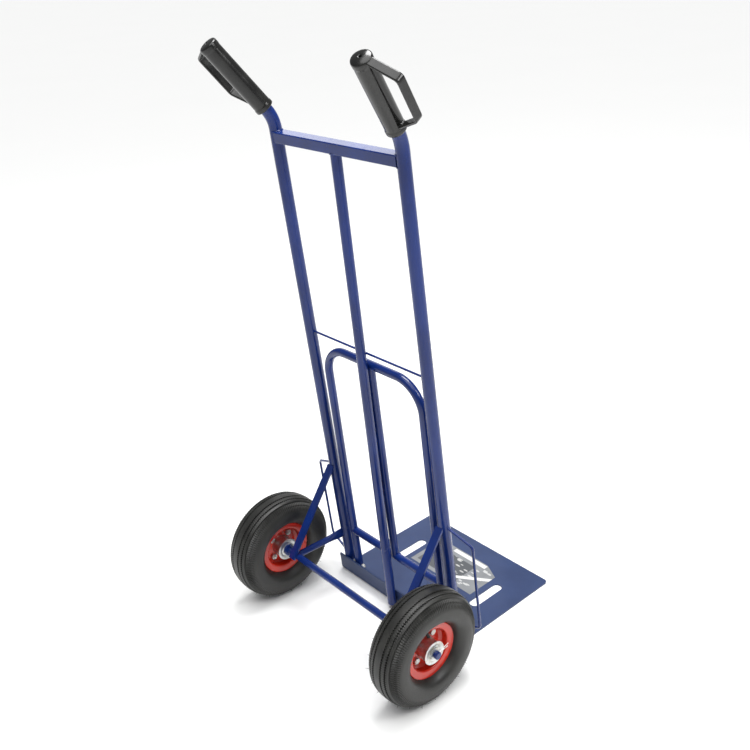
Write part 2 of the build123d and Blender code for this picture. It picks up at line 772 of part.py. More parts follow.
valve_direction = Vector(cos(radians(valve_tilt)), 0, -sin(radians(valve_tilt)))
valve_middle = wheel_centre + Vector(valve_across, 0, rim_seat_radius)
valve_start = valve_middle - valve_direction * valve_inside
valve_end = valve_middle + valve_direction * valve_outside
with BuildPart() as rim_outer_right:
    add(rim_half.part)
    add(
        rod_along(valve_start, valve_end, valve_diameter + 2 * valve_hole_clearance),
        mode=Mode.SUBTRACT,
    )
rim_outer_right.part.label = "rim_outer_right"

with BuildPart() as rim_inner_right:
    mirror(rim_half.part, about=wheel_middle)
rim_inner_right.part.label = "rim_inner_right"

with BuildPart() as valve_right:
    add(rod_along(valve_start, valve_end, valve_diameter))
valve_right.part.label = "valve_right"

with BuildPart() as rim_bolts_right:
    with Locations(bolt_circle_plane.offset(rim_sheet)):
        with PolarLocations(rim_bolt_circle / 2, rim_bolt_count, start_angle=45):
            Cylinder(
                rim_bolt_diameter / 2,
                2 * rim_sheet + rim_nut_height + rim_bolt_tail,
                align=(Align.CENTER, Align.CENTER, Align.MAX),
            )
    with BuildSketch(bolt_circle_plane.offset(rim_sheet)):
        with PolarLocations(rim_bolt_circle / 2, rim_bolt_count, start_angle=45):
            RegularPolygon(
                rim_bolt_head_across_flats / 2, 6, major_radius=False, rotation=30
            )
    extrude(amount=rim_bolt_head_height)
rim_bolts_right.part.label = "rim_bolts_right"

with BuildPart() as rim_nuts_right:
    with BuildSketch(bolt_circle_plane.offset(-rim_sheet)):
        with PolarLocations(rim_bolt_circle / 2, rim_bolt_count, start_angle=45):
            RegularPolygon(
                rim_bolt_head_across_flats / 2, 6, major_radius=False, rotation=30
            )
            Circle(rim_bolt_diameter / 2, mode=Mode.SUBTRACT)
    extrude(amount=-rim_nut_height)
rim_nuts_right.part.label = "rim_nuts_right"

with BuildPart() as hub_right:
    with BuildSketch(wheel_middle.offset(-hub_length / 2)):
        with Locations((axle_y, tyre_radius)):
            Circle(hub_radius)
            Circle(bearing_outside / 2, mode=Mode.SUBTRACT)
    extrude(amount=hub_length)
hub_right.part.label = "hub_right"

with BuildPart() as hub_shields_right:
    for side in (-1, 1):
        with BuildSketch(wheel_middle.offset(side * hub_length / 2)):
            with Locations((axle_y, tyre_radius)):
                Circle(hub_shield_diameter / 2)
                Circle(axle_radius + hub_shield_clearance, mode=Mode.SUBTRACT)
        extrude(amount=side * hub_shield_thickness)
hub_shields_right.part.label = "hub_shields_right"

# The bearings: both rings and the balls between them, at both ends of the hub.
outer_ring_bore = bearing_outside / 2 - bearing_ring_thickness
inner_ring_outside = axle_radius + bearing_ring_thickness
ball_radius = (outer_ring_bore - inner_ring_outside - bearing_running_gap) / 2
ball_circle_radius = (outer_ring_bore + inner_ring_outside) / 2
bearing_middles = [
    side * (hub_length / 2 - bearing_recess - bearing_width / 2) for side in (-1, 1)
]
with BuildPart() as bearing_outer_rings_right:
    for middle in bearing_middles:
        with BuildSketch(wheel_middle.offset(middle)):
            with Locations((axle_y, tyre_radius)):
                Circle(bearing_outside / 2)
                Circle(outer_ring_bore, mode=Mode.SUBTRACT)
        extrude(amount=bearing_width / 2, both=True)
bearing_outer_rings_right.part.label = "bearing_outer_rings_right"

with BuildPart() as bearing_inner_rings_right:
    for middle in bearing_middles:
        with BuildSketch(wheel_middle.offset(middle)):
            with Locations((axle_y, tyre_radius)):
                Circle(inner_ring_outside)
                Circle(axle_radius, mode=Mode.SUBTRACT)
        extrude(amount=bearing_width / 2, both=True)
bearing_inner_rings_right.part.label = "bearing_inner_rings_right"

with BuildPart() as bearing_balls_right:
    for middle in bearing_middles:
        with Locations(bolt_circle_plane.offset(middle)):
            with PolarLocations(ball_circle_radius, bearing_ball_count):
                Sphere(ball_radius)
bearing_balls_right.part.label = "bearing_balls_right"

# ---- what holds the wheel on its axle --------------------------------------------
with BuildPart() as hub_washer_right:
    with BuildSketch(Plane.YZ.offset(washer_inner_face)):
        with Locations((axle_y, tyre_radius)):
            Circle(hub_washer_diameter / 2)
            Circle(axle_radius, mode=Mode.SUBTRACT)
    extrude(amount=hub_washer_thickness)
hub_washer_right.part.label = "hub_washer_right"

with BuildPart() as axle_collar_right:
    with BuildSketch(wheel_middle.offset(-shield_face - side_gap)):
        with Locations((axle_y, tyre_radius)):
            Circle(collar_diameter / 2)
            Circle(axle_radius, mode=Mode.SUBTRACT)
    extrude(amount=-collar_length)
axle_collar_right.part.label = "axle_collar_right"

eye_centre = cotter_centre + cotter_direction * (cotter_neck + cotter_eye_radius)
cotter_eye = Plane(origin=eye_centre, z_dir=(1, 0, 0)) * Torus(
    cotter_eye_radius, cotter_diameter / 2
)
with BuildPart() as cotter_pin_right:
    add(cotter_shank)
    add(cotter_eye)
cotter_pin_right.part.label = "cotter_pin_right"

# ---- grips: a moulded sleeve with a knuckle guard on its outer side ---------------
grip_base = handle_corner + handle_direction * grip_start
outward = (across - handle_direction * across.dot(handle_direction)).normalized()
grip_section = Plane(origin=grip_base, x_dir=outward, z_dir=outward.cross(handle_direction))
grip_axis = Axis(origin=grip_base, direction=handle_direction)
grip_radius = grip_diameter / 2
bore_depth = handle_length - grip_start
cap_start = grip_length - grip_cap_length
band_middle = guard_band_reach - guard_band_thickness / 2
band_root = (upright_radius + grip_radius) / 2
with BuildPart() as grip_right:
    with BuildSketch(grip_section):
        with BuildLine():
            Polyline(
                (grip_vent_diameter / 2, bore_depth),
                (upright_radius, bore_depth),
                (upright_radius, 0),
                (grip_mouth_diameter / 2, 0),
                (grip_mouth_diameter / 2, grip_mouth_length),
                (grip_radius, grip_mouth_length + 1),
                (grip_radius, cap_start),
                (grip_cap_diameter / 2, cap_start + 1),
                (grip_cap_diameter / 2, grip_length - grip_dome),
            )
            dome = EllipticalCenterArc(
                (0, grip_length - grip_dome),
                grip_cap_diameter / 2,
                grip_dome,
                start_angle=0,
                arc_size=82,
            )
            Polyline(
                dome @ 1,
                (grip_vent_diameter / 2, (dome @ 1).Y),
                (grip_vent_diameter / 2, bore_depth),
            )
        make_face()
    revolve(axis=grip_axis)
    with BuildLine() as band_path:
        FilletPolyline(
            *[
                grip_section.from_local_coords(Vector(reach, height, 0))
                for reach, height in (
                    (band_root, guard_band_low),
                    (band_middle, guard_band_low_bend),
                    (band_middle, guard_band_high_bend),
                    (band_root, guard_band_high),
                )
            ],
            radius=guard_band_corner,
        )
    band_start = band_path.wire() % 0
    with BuildSketch(
        Plane(origin=band_path.wire() @ 0, x_dir=grip_section.z_dir, z_dir=band_start)
    ):
        RectangleRounded(guard_band_width, guard_band_thickness, guard_band_thickness * 0.35)
    sweep(path=band_path.wire())
    add(handle_envelope, mode=Mode.SUBTRACT)
grip_right.part.label = "grip_right"

# ---- everything that was drawn on one side only, on both sides --------------------
for piece in (
    tyre_right,
    inner_tube_right,
    rim_outer_right,
    rim_inner_right,
    valve_right,
    rim_bolts_right,
    rim_nuts_right,
    hub_right,
    hub_shields_right,
    bearing_outer_rings_right,
    bearing_inner_rings_right,
    bearing_balls_right,
    hub_washer_right,
    axle_collar_right,
    cotter_pin_right,
    grip_right,
):
    export_step(piece.part, f"parts/{piece.part.label}.step")
    with BuildPart() as other_side:
        mirror(piece.part, about=Plane.YZ)
    other_side.part.label = piece.part.label.replace("right", "left")
    export_step(other_side.part, f"parts/{other_side.part.label}.step")
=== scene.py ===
"""Looks of a two-wheeled hand truck: painted tube frame, pneumatic wheels, moulded grips."""

import json
import logging
import math
import random
from dataclasses import dataclass, field
from enum import Enum
from typing import Callable, Iterable, Sequence

import bmesh
import bpy
from mathutils import Matrix, Vector
from mathutils.bvhtree import BVHTree


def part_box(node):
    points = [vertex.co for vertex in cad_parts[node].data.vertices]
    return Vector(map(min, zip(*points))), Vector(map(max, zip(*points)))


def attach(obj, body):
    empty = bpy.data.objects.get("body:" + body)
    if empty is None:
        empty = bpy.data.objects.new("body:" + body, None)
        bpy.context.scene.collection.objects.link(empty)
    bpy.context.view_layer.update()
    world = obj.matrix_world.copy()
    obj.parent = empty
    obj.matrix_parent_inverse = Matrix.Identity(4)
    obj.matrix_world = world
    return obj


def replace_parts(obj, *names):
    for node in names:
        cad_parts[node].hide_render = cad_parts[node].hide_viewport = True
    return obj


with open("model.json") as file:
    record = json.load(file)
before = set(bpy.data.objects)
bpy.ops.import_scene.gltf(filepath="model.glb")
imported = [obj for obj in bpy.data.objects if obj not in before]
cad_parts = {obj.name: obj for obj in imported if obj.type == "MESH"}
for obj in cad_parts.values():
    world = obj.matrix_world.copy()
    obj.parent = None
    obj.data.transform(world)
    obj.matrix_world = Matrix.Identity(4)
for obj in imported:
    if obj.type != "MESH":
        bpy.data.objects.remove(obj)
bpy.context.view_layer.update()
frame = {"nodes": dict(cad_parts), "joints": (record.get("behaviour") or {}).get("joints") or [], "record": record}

LOG = logging.getLogger("hand_truck")
MM = 0.001
SIDES = {"left": -1.0, "right": 1.0}
Colour = tuple[float, float, float]


# ---- shader tools ---------------------------------------------------------------------
class Value:
    """A number socket that Python's operators work on by adding Math nodes."""

    def __init__(self, shader: "Shader", socket: bpy.types.NodeSocket) -> None:
        """Wraps an output socket of the material being made."""
        self.shader = shader
        self.socket = socket

    def math(self, operation: str, *others: "Value | float") -> "Value":
        """Joins this value to the others with one Math node and hands back its result."""
        operands = dict(enumerate((self, *others)))
        return self.shader.node("ShaderNodeMath", {"operation": operation}, operands)

    def __add__(self, other: "Value | float") -> "Value":
        """Sum."""
        return self.math("ADD", other)

    __radd__ = __add__

    def __sub__(self, other: "Value | float") -> "Value":
        """Difference."""
        return self.math("SUBTRACT", other)

    def __rsub__(self, other: float) -> "Value":
        """Difference from a plain number."""
        return (self * -1.0) + other

    def __mul__(self, other: "Value | float") -> "Value":
        """Product."""
        return self.math("MULTIPLY", other)

    __rmul__ = __mul__

    def __gt__(self, other: "Value | float") -> "Value":
        """1 where this is the greater, else 0."""
        return self.math("GREATER_THAN", other)

    def __lt__(self, other: "Value | float") -> "Value":
        """1 where this is the smaller, else 0."""
        return self.math("LESS_THAN", other)

    def between(self, low: float, high: float) -> "Value":
        """1 where this lies between two numbers, else 0."""
        return (self > low) * (self < high)

    def clamp(self) -> "Value":
        """This value held between 0 and 1."""
        return self.math("MAXIMUM", 0.0).math("MINIMUM", 1.0)


class Shader:
    """One material and the short calls that make its nodes."""

    def __init__(self, name: str) -> None:
        """Starts an empty material with its output and principled shader.

        Args:
            name: The material's name.
        """
        self.material = bpy.data.materials.new(name)
        self.material.use_nodes = True
        self.tree = self.material.node_tree
        self.tree.nodes.clear()
        self.surface = self.tree.nodes.new("ShaderNodeBsdfPrincipled")
        output = self.tree.nodes.new("ShaderNodeOutputMaterial")
        self.tree.links.new(self.surface.outputs[0], output.inputs["Surface"])

    def node(
        self,
        kind: str,
        settings: dict[str, object],
        sockets: dict[str | int, object],
        output: str | int = 0,
    ) -> Value:
        """Makes any node.

        Args:
            kind: The node's type.
            settings: Its properties, which are set first.
            sockets: What each input holds or is linked to.
            output: The output to hand back.

        Returns:
            The wanted output, wrapped.
        """
        made = self.tree.nodes.new(kind)
        for key, setting in settings.items():
            setattr(made, key, setting)
        for key, content in sockets.items():
            if isinstance(content, Value):
                self.tree.links.new(content.socket, made.inputs[key])
            else:
                made.inputs[key].default_value = content
        return Value(self, made.outputs[output])

    def place(self) -> Value:
        """Object coordinates, in metres."""
        return self.node("ShaderNodeTexCoord", {}, {}, "Object")

    def axis(self, vector: Value, letter: str) -> Value:
        """One component of a vector."""
        return self.node("ShaderNodeSeparateXYZ", {}, {"Vector": vector}, letter)

    def stretch(self, vector: Value, scale: Sequence[float]) -> Value:
        """A vector with each component scaled."""
        return self.node("ShaderNodeMapping", {}, {"Vector": vector, "Scale": tuple(scale)})

    def noise(
        self, vector: Value, scale: float, detail: float = 2.0, rough: float = 0.5
    ) -> Value:
        """Fractal noise, about 0.5 on average."""
        sockets = {"Vector": vector, "Scale": scale, "Detail": detail, "Roughness": rough}
        return self.node("ShaderNodeTexNoise", {}, sockets, "Fac")

    def cells(self, vector: Value, scale: float) -> Value:
        """Distance to the nearest cell centre."""
        sockets = {"Vector": vector, "Scale": scale}
        return self.node("ShaderNodeTexVoronoi", {}, sockets, "Distance")

    def ease(self, value: Value, low: float, high: float) -> Value:
        """Smooth step from 0 at low to 1 at high.

        Args:
            value: The value to ease.
            low: Where the step starts.
            high: Where it ends.

        Returns:
            The eased value.
        """
        settings = {"interpolation_type": "SMOOTHSTEP"}
        sockets = {"Value": value, "From Min": low, "From Max": high}
        return self.node("ShaderNodeMapRange", settings, sockets)

    def mix(self, share: Value, first: "Value | Colour", second: "Value | Colour") -> Value:
        """Mixes two colours, the second by its share.

        Args:
            share: The second colour's share.
            first: The first colour.
            second: The second colour.

        Returns:
            The mixed colour.
        """
        made = self.tree.nodes.new("ShaderNodeMix")
        made.data_type = "RGBA"
        self.tree.links.new(share.socket, made.inputs["Factor"])
        for socket, content in ((made.inputs[6], first), (made.inputs[7], second)):
            if isinstance(content, Value):
                self.tree.links.new(content.socket, socket)
            else:
                socket.default_value = (*content, 1.0)
        return Value(self, made.outputs[2])

    def bump(self, height: Value, depth: float, strength: float = 1.0) -> None:
        """Links a height from 0 to 1 to the shader's normal, at a depth in metres."""
        sockets = {"Height": height, "Distance": depth, "Strength": strength}
        self.put("Normal", self.node("ShaderNodeBump", {}, sockets))

    def put(self, socket: str, content: "Value | float | Colour") -> None:
        """Sets or links one socket of the principled shader.

        Args:
            socket: The socket's name.
            content: What it holds or is linked to.
        """
        target = self.surface.inputs[socket]
        if isinstance(content, Value):
            self.tree.links.new(content.socket, target)
        elif isinstance(content, tuple):
            target.default_value = (*content, 1.0)
        else:
            target.default_value = content


# ---- finishes -------------------------------------------------------------------------
@dataclass(frozen=True)
class PaintFinish:
    """Gloss paint on steel: orange peel, a faint drift of tone, dust specks and scuffs."""

    name: str
    tone: Colour
    deep_tone: Colour
    roughness: float = 0.24
    coat: float = 0.8
    coat_roughness: float = 0.07
    specular: float = 0.32
    peel_scale: float = 420.0
    peel_depth: float = 0.00006
    dust: Colour = (0.10, 0.12, 0.22)

    def build(self) -> bpy.types.Material:
        """Makes the material.

        Returns:
            The finished material.
        """
        shader = Shader(self.name)
        place = shader.place()
        drift = shader.ease(shader.noise(place, 9.0, 4.0), 0.35, 0.65)
        specks = shader.ease(shader.noise(place, 900.0, 1.0), 0.70, 0.80)
        scuffs = shader.ease(shader.noise(place, 38.0, 5.0, 0.6), 0.60, 0.80)
        tone = shader.mix(drift, self.tone, self.deep_tone)
        dusted = (specks * 0.25 + scuffs * 0.08).clamp()
        shader.put("Base Color", shader.mix(dusted, tone, self.dust))
        shader.put("Roughness", self.roughness + scuffs * 0.14 + specks * 0.1)
        shader.put("Coat Weight", (self.coat - scuffs * 0.3).clamp())
        shader.put("Coat Roughness", self.coat_roughness)
        shader.put("Specular IOR Level", self.specular)
        peel = shader.noise(place, self.peel_scale, 2.0) + shader.noise(place, 60.0, 1.0) * 0.8
        shader.bump(peel, self.peel_depth)
        return shader.material


@dataclass(frozen=True)
class PlatedFinish:
    """Zinc plating or bare ground steel, with a fine grain and a blotched shine."""

    name: str
    tone: Colour
    warm_tone: Colour
    roughness: float = 0.30
    grain_depth: float = 0.00004

    def build(self) -> bpy.types.Material:
        """Makes the material.

        Returns:
            The finished material.
        """
        shader = Shader(self.name)
        place = shader.place()
        blotches = shader.ease(shader.noise(place, 160.0, 4.0), 0.38, 0.66)
        grain = shader.noise(shader.stretch(place, (1.0, 6.0, 6.0)), 700.0, 3.0)
        shader.put("Base Color", shader.mix(blotches, self.tone, self.warm_tone))
        shader.put("Metallic", 1.0)
        shader.put("Roughness", self.roughness + blotches * 0.12 + grain * 0.06)
        shader.bump(grain, self.grain_depth)
        return shader.material


@dataclass(frozen=True)
class RubberFinish:
    """Black rubber with a grey bloom and a fine moulded skin."""

    name: str
    tone: Colour
    bloom: Colour
    roughness: float = 0.52
    skin_depth: float = 0.00012

    def build(self) -> bpy.types.Material:
        """Makes the material.

        Returns:
            The finished material.
        """
        shader = Shader(self.name)
        place = shader.place()
        patches = shader.ease(shader.noise(place, 22.0, 5.0, 0.6), 0.40, 0.72)
        skin = shader.noise(place, 1400.0, 2.0)
        shader.put("Base Color", shader.mix(patches * 0.7 + skin * 0.15, self.tone, self.bloom))
        shader.put("Roughness", self.roughness + patches * 0.16)
        shader.bump(skin + shader.noise(place, 240.0, 2.0) * 0.6, self.skin_depth)
        return shader.material


@dataclass(frozen=True)
class MouldedFinish:
    """Black moulded plastic: a pebbled skin under a soft gloss."""

    name: str
    tone: Colour
    worn_tone: Colour
    roughness: float = 0.27
    pebble_scale: float = 700.0
    pebble_depth: float = 0.00002

    def build(self) -> bpy.types.Material:
        """Makes the material.

        Returns:
            The finished material.
        """
        shader = Shader(self.name)
        place = shader.place()
        worn = shader.ease(shader.noise(place, 30.0, 4.0), 0.42, 0.70)
        pebbles = shader.cells(place, self.pebble_scale)
        shader.put("Base Color", shader.mix(worn, self.tone, self.worn_tone))
        shader.put("Roughness", self.roughness + worn * 0.10 + pebbles * 0.05)
        shader.bump(1.0 - pebbles, self.pebble_depth)
        return shader.material


@dataclass(frozen=True)
class FilmFinish:
    """A stuck-on film with plain blocks of grey and white and no lettering."""

    name: str
    body: Colour
    panel: Colour
    light: Colour
    centre: tuple[float, float]
    size: tuple[float, float]

    def build(self) -> bpy.types.Material:
        """Makes the material.

        Returns:
            The finished material.
        """
        shader = Shader(self.name)
        place = shader.place()
        across = (shader.axis(place, "X") - self.centre[0]) * (1.0 / self.size[0])
        along = (shader.axis(place, "Y") - self.centre[1]) * (1.0 / self.size[1])
        stripe = along.between(0.36, 0.47) * across.between(-0.22, 0.30)
        panel = across.between(-0.44, 0.20) * along.between(-0.40, 0.26)
        slash = (along * 0.8 - across + 0.42).between(0.0, 0.09) * along.between(-0.42, 0.30)
        patch = across.between(-0.40, -0.22) * along.between(-0.06, 0.20)
        blocks = shader.cells(shader.stretch(place, (38.0, 110.0, 1.0)), 1.0)
        column = along.between(-0.45, 0.34) * across.between(0.22, 0.44)
        marks = (blocks < 0.30) * (panel + column)
        film = shader.mix(shader.noise(place, 35.0, 3.0) * 0.5, self.body, self.panel)
        film = shader.mix(panel * 0.9, film, self.panel)
        film = shader.mix(marks.clamp() * 0.55, film, self.light)
        film = shader.mix((stripe + slash + patch).clamp() * 0.85, film, self.light)
        shader.put("Base Color", film)
        shader.put("Roughness", 0.30 + shader.noise(place, 90.0, 3.0) * 0.14)
        shader.bump(shader.noise(place, 120.0, 2.0), 0.0001)
        return shader.material


@dataclass(frozen=True)
class FloorFinish:
    """Plain pale studio floor."""

    name: str
    tone: Colour

    def build(self) -> bpy.types.Material:
        """Makes the material.

        Returns:
            The finished material.
        """
        shader = Shader(self.name)
        drift = shader.noise(shader.place(), 1.2, 3.0) * 0.12
        shader.put("Base Color", shader.mix(drift, self.tone, (0.80, 0.81, 0.80)))
        shader.put("Roughness", 0.75)
        return shader.material


class Finish(Enum):
    """The truck's finishes."""

    BLUE_PAINT = PaintFinish(
        "blue_paint", (0.006, 0.026, 0.165), (0.004, 0.018, 0.120), 0.22, 0.22
    )
    PLATE_PAINT = PaintFinish(
        "plate_paint", (0.024, 0.044, 0.120), (0.019, 0.035, 0.098), 0.46, 0.08
    )
    RED_PAINT = PaintFinish("red_paint", (0.62, 0.024, 0.006), (0.46, 0.013, 0.004), 0.20, 0.40)
    ZINC = PlatedFinish("zinc_plate", (0.60, 0.61, 0.62), (0.50, 0.48, 0.43))
    BEARING_STEEL = PlatedFinish("bearing_steel", (0.55, 0.55, 0.56), (0.46, 0.46, 0.47), 0.22)
    TYRE = RubberFinish("tyre_rubber", (0.0095, 0.0095, 0.0085), (0.024, 0.024, 0.021), 0.42)
    TUBE = RubberFinish("tube_rubber", (0.012, 0.012, 0.012), (0.03, 0.03, 0.03), 0.45)
    VALVE = RubberFinish("valve_rubber", (0.012, 0.012, 0.012), (0.03, 0.03, 0.03), 0.4)
    GRIP = MouldedFinish("grip_plastic", (0.008, 0.008, 0.0078), (0.014, 0.014, 0.013), 0.14)
    FLOOR = FloorFinish("studio_floor", (0.95, 0.95, 0.94))


class Paintbox:
    """Makes each finish once and hands it out."""

    def __init__(self) -> None:
        """Starts with nothing made."""
        self.made: dict[str, bpy.types.Material] = {}

    def material(self, finish: "Finish | FilmFinish") -> bpy.types.Material:
        """The material of a finish.

        Args:
            finish: The finish.

        Returns:
            Its material, the same one each time.
        """
        recipe = finish.value if isinstance(finish, Finish) else finish
        if recipe.name not in self.made:
            self.made[recipe.name] = recipe.build()
        return self.made[recipe.name]


# ---- layout, read from the frame ------------------------------------------------------
def box_middle(node: str) -> Vector:
    """The middle of a CAD node's box."""
    low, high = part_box(node)
    return (low + high) / 2


@dataclass
class Layout:
    """Where the truck's lines run. Its own lengths are in millimetres, its points in metres."""

    lean: float = math.radians(4.7)
    pivot_along: float = 30.0
    upright_across: float = 185.0
    bend_along: float = 1154.0
    back_angle: float = math.radians(31.2)
    splay_angle: float = math.radians(10.7)
    along: Vector = field(init=False)
    rear: Vector = field(init=False)
    foot: Vector = field(init=False)
    axle: Vector = field(init=False)
    handle: Vector = field(init=False)

    def __post_init__(self) -> None:
        """Works out the directions and reads the pivot and axle from the frame."""
        self.along = Vector((0, -math.sin(self.lean), math.cos(self.lean)))
        self.rear = Vector((0, -math.cos(self.lean), -math.sin(self.lean)))
        fold = next(joint for joint in frame["joints"] if joint["name"] == "toe_frame_fold")
        self.foot = Vector(fold["pos_m"]) - self.along * self.pivot_along * MM
        self.axle = box_middle("axle")
        self.handle = (
            Vector((math.tan(self.splay_angle), 0, 0))
            + self.rear * math.sin(self.back_angle)
            + self.along * math.cos(self.back_angle)
        ).normalized()

    def point(self, across: float, rear: float, along: float) -> Vector:
        """A point given across the truck, behind the uprights and along them, in mm."""
        offset = Vector((across, 0, 0)) + self.rear * rear + self.along * along
        return self.foot + offset * MM


# ---- mesh tools -----------------------------------------------------------------------
def local_frame(origin: Vector, axis_z: Vector, axis_x: Vector) -> Matrix:
    """A placement from its origin, its Z axis and a direction near its X axis.

    Args:
        origin: Its origin.
        axis_z: Its Z axis.
        axis_x: The direction near its X axis.

    Returns:
        The placement.
    """
    up = axis_z.normalized()
    side = up.cross(axis_x).normalized()
    turn = Matrix((side.cross(up), side, up)).transposed()
    return Matrix.Translation(origin) @ turn.to_4x4()


def rounded_path(corners: Sequence[Vector], radius: float, steps: int = 6) -> list[Vector]:
    """Rounds the inner corners of a chain of points.

    Args:
        corners: The chain.
        radius: The corners' radius.
        steps: Points on each rounded corner, less one.

    Returns:
        The chain with an arc at each inner corner.
    """
    path = [corners[0]]
    for before, here, after in zip(corners, corners[1:], corners[2:]):
        back = (before - here).normalized()
        ahead = (after - here).normalized()
        half = back.angle(ahead) / 2
        reach = radius / math.tan(half)
        middle = here + (back + ahead).normalized() * (radius / math.sin(half))
        first = here + back * reach - middle
        last = here + ahead * reach - middle
        turn = first.angle(last)
        for step in range(steps + 1):
            share = step / steps
            blend = first * math.sin((1 - share) * turn) + last * math.sin(share * turn)
            path.append(middle + blend / math.sin(turn))
    path.append(corners[-1])
    return path


def rounded_rectangle(width: float, height: float, radius: float, steps: int = 3) -> list[Vector]:
    """Points round a rectangle with rounded corners, in the XY plane.

    Args:
        width: Its size along X.
        height: Its size along Y.
        radius: The corners' radius.
        steps: Points on each corner, less one.

    Returns:
        The points, in order.
    """
    points = []
    for quarter, (right, up) in enumerate(((1, 1), (-1, 1), (-1, -1), (1, -1))):
        middle = Vector((right * (width / 2 - radius), up * (height / 2 - radius), 0))
        for step in range(steps + 1):
            angle = (quarter + step / steps) * math.pi / 2
            points.append(middle + Vector((math.cos(angle), math.sin(angle), 0)) * radius)
    return points


def circle_points(radius: float, count: int) -> list[Vector]:
    """Points round a circle in the XY plane."""
    turns = [2 * math.pi * index / count for index in range(count)]
    return [Vector((math.cos(turn), math.sin(turn), 0)) * radius for turn in turns]


class Piece:
    """A mesh in the making, with the operators that the truck's parts need."""

    def __init__(self, name: str) -> None:
        """Starts empty, with the finished object's name."""
        self.name = name
        self.mesh = bmesh.new()

    def lathe(
        self,
        profile: Sequence[tuple[float, float]],
        place: Matrix,
        steps: int,
        closed: bool = True,
    ) -> None:
        """Spins a profile a full turn.

        Args:
            profile: Points as (radius, height) in metres, in order round the section.
            place: Where the spin's axis, local Z, lies.
            steps: Divisions of the turn.
            closed: Whether the profile's last point joins its first.
        """
        spots = [place @ Vector((radius, 0, height)) for radius, height in profile]
        ring = [self.mesh.verts.new(spot) for spot in spots]
        pairs = list(zip(ring, ring[1:])) + ([(ring[-1], ring[0])] if closed else [])
        edges = [self.mesh.edges.new(pair) for pair in pairs]
        bmesh.ops.spin(
            self.mesh,
            geom=ring + edges,
            cent=place.translation,
            axis=place.to_3x3() @ Vector((0, 0, 1)),
            angle=2 * math.pi,
            steps=steps,
            use_merge=True,
        )

    def sweep(
        self,
        path: Sequence[Vector],
        section: Sequence[Vector],
        lean_to: Vector,
        closed: bool = False,
        scale: Callable[[int], float] = lambda index: 1.0,
    ) -> None:
        """Carries a section along a path by repeated extrusion.

        Args:
            path: The points that the section's middle passes through.
            section: The section, in its own XY plane.
            lean_to: The direction that the section's X axis keeps near to.
            closed: Whether the path returns to its start.
            scale: The section's size at each point of the path.
        """
        count = len(path)
        first: list[bmesh.types.BMVert] = []
        ring: list[bmesh.types.BMVert] = []
        for index, point in enumerate(path):
            if closed:
                run = path[(index + 1) % count] - path[index - 1]
            else:
                run = path[min(index + 1, count - 1)] - path[max(index - 1, 0)]
            spot = local_frame(point, run, lean_to)
            shape = [spot @ (corner * scale(index)) for corner in section]
            if not ring:
                ring = [self.mesh.verts.new(corner) for corner in shape]
                edges = [self.mesh.edges.new(pair) for pair in zip(ring, ring[1:] + ring[:1])]
                first = ring
                continue
            made = bmesh.ops.extrude_edge_only(self.mesh, edges=edges)["geom"]
            edges = [item for item in made if isinstance(item, bmesh.types.BMEdge)
                     and not any(vert in ring for vert in item.verts)]
            moved = self._matching(ring, edges)
            for vert, corner in zip(moved, shape):
                vert.co = corner
            ring = moved
        if closed:
            for low, high, low_next, high_next in zip(
                ring, first, ring[1:] + ring[:1], first[1:] + first[:1]
            ):
                self.mesh.faces.new((low, low_next, high_next, high))
        else:
            self.mesh.faces.new(list(reversed(first)))
            self.mesh.faces.new(ring)

    @staticmethod
    def _matching(
        ring: Sequence[bmesh.types.BMVert], edges: Iterable[bmesh.types.BMEdge]
    ) -> list[bmesh.types.BMVert]:
        """The extruded copies of a ring's vertices, in the ring's order.

        Args:
            ring: The ring that was extruded.
            edges: The new ring's edges.

        Returns:
            The new vertices.
        """
        copies = {vert for edge in edges for vert in edge.verts}
        matched = []
        for vert in ring:
            near = next(edge.other_vert(vert) for edge in vert.link_edges
                        if edge.other_vert(vert) in copies)
            matched.append(near)
        return matched

    def hexagon(self, place: Matrix, across_flats: float, height: float, chamfer: float) -> None:
        """A bolt head or nut blank that stands on local Z = 0.

        Args:
            place: Where it stands.
            across_flats: Its size over its flats.
            height: How tall it is.
            chamfer: The chamfer on its upper corners.
        """
        made = bmesh.ops.create_cone(
            self.mesh,
            cap_ends=True,
            segments=6,
            radius1=across_flats / math.sqrt(3),
            radius2=across_flats / math.sqrt(3),
            depth=height,
            matrix=place @ Matrix.Translation((0, 0, height / 2)),
        )
        up = place.to_3x3() @ Vector((0, 0, 1))
        top = (place.translation + up * height).dot(up)
        edges = {
            edge for vert in made["verts"] for edge in vert.link_edges
            if all(abs(end.co.dot(up) - top) < 1e-6 for end in edge.verts)
        }
        bmesh.ops.bevel(
            self.mesh, geom=list(edges), offset=chamfer, offset_type="OFFSET", segments=2,
            profile=0.5, affect="EDGES", material=-1,
        )

    def finish(
        self, material: bpy.types.Material, body: str, slot: str, sharp: float = 35.0
    ) -> bpy.types.Object:
        """Turns the mesh into an object that rides on a body.

        Args:
            material: The piece's material.
            body: The CAD body it moves with.
            slot: The record's material slot; not used.
            sharp: Edges that turn by more degrees than this stay sharp.

        Returns:
            The finished object.
        """
        bmesh.ops.remove_doubles(self.mesh, verts=self.mesh.verts, dist=1e-7)
        bmesh.ops.recalc_face_normals(self.mesh, faces=self.mesh.faces)
        for face in self.mesh.faces:
            face.smooth = True
        limit = math.radians(sharp)
        for edge in self.mesh.edges:
            edge.smooth = len(edge.link_faces) != 2 or edge.calc_face_angle(0.0) < limit
        data = bpy.data.meshes.new(self.name)
        self.mesh.to_mesh(data)
        self.mesh.free()
        data.materials.append(material)
        made = bpy.data.objects.new(self.name, data)
        bpy.context.scene.collection.objects.link(made)
        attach(made, body)
        LOG.info("%s: %d faces", self.name, len(data.polygons))
        return made


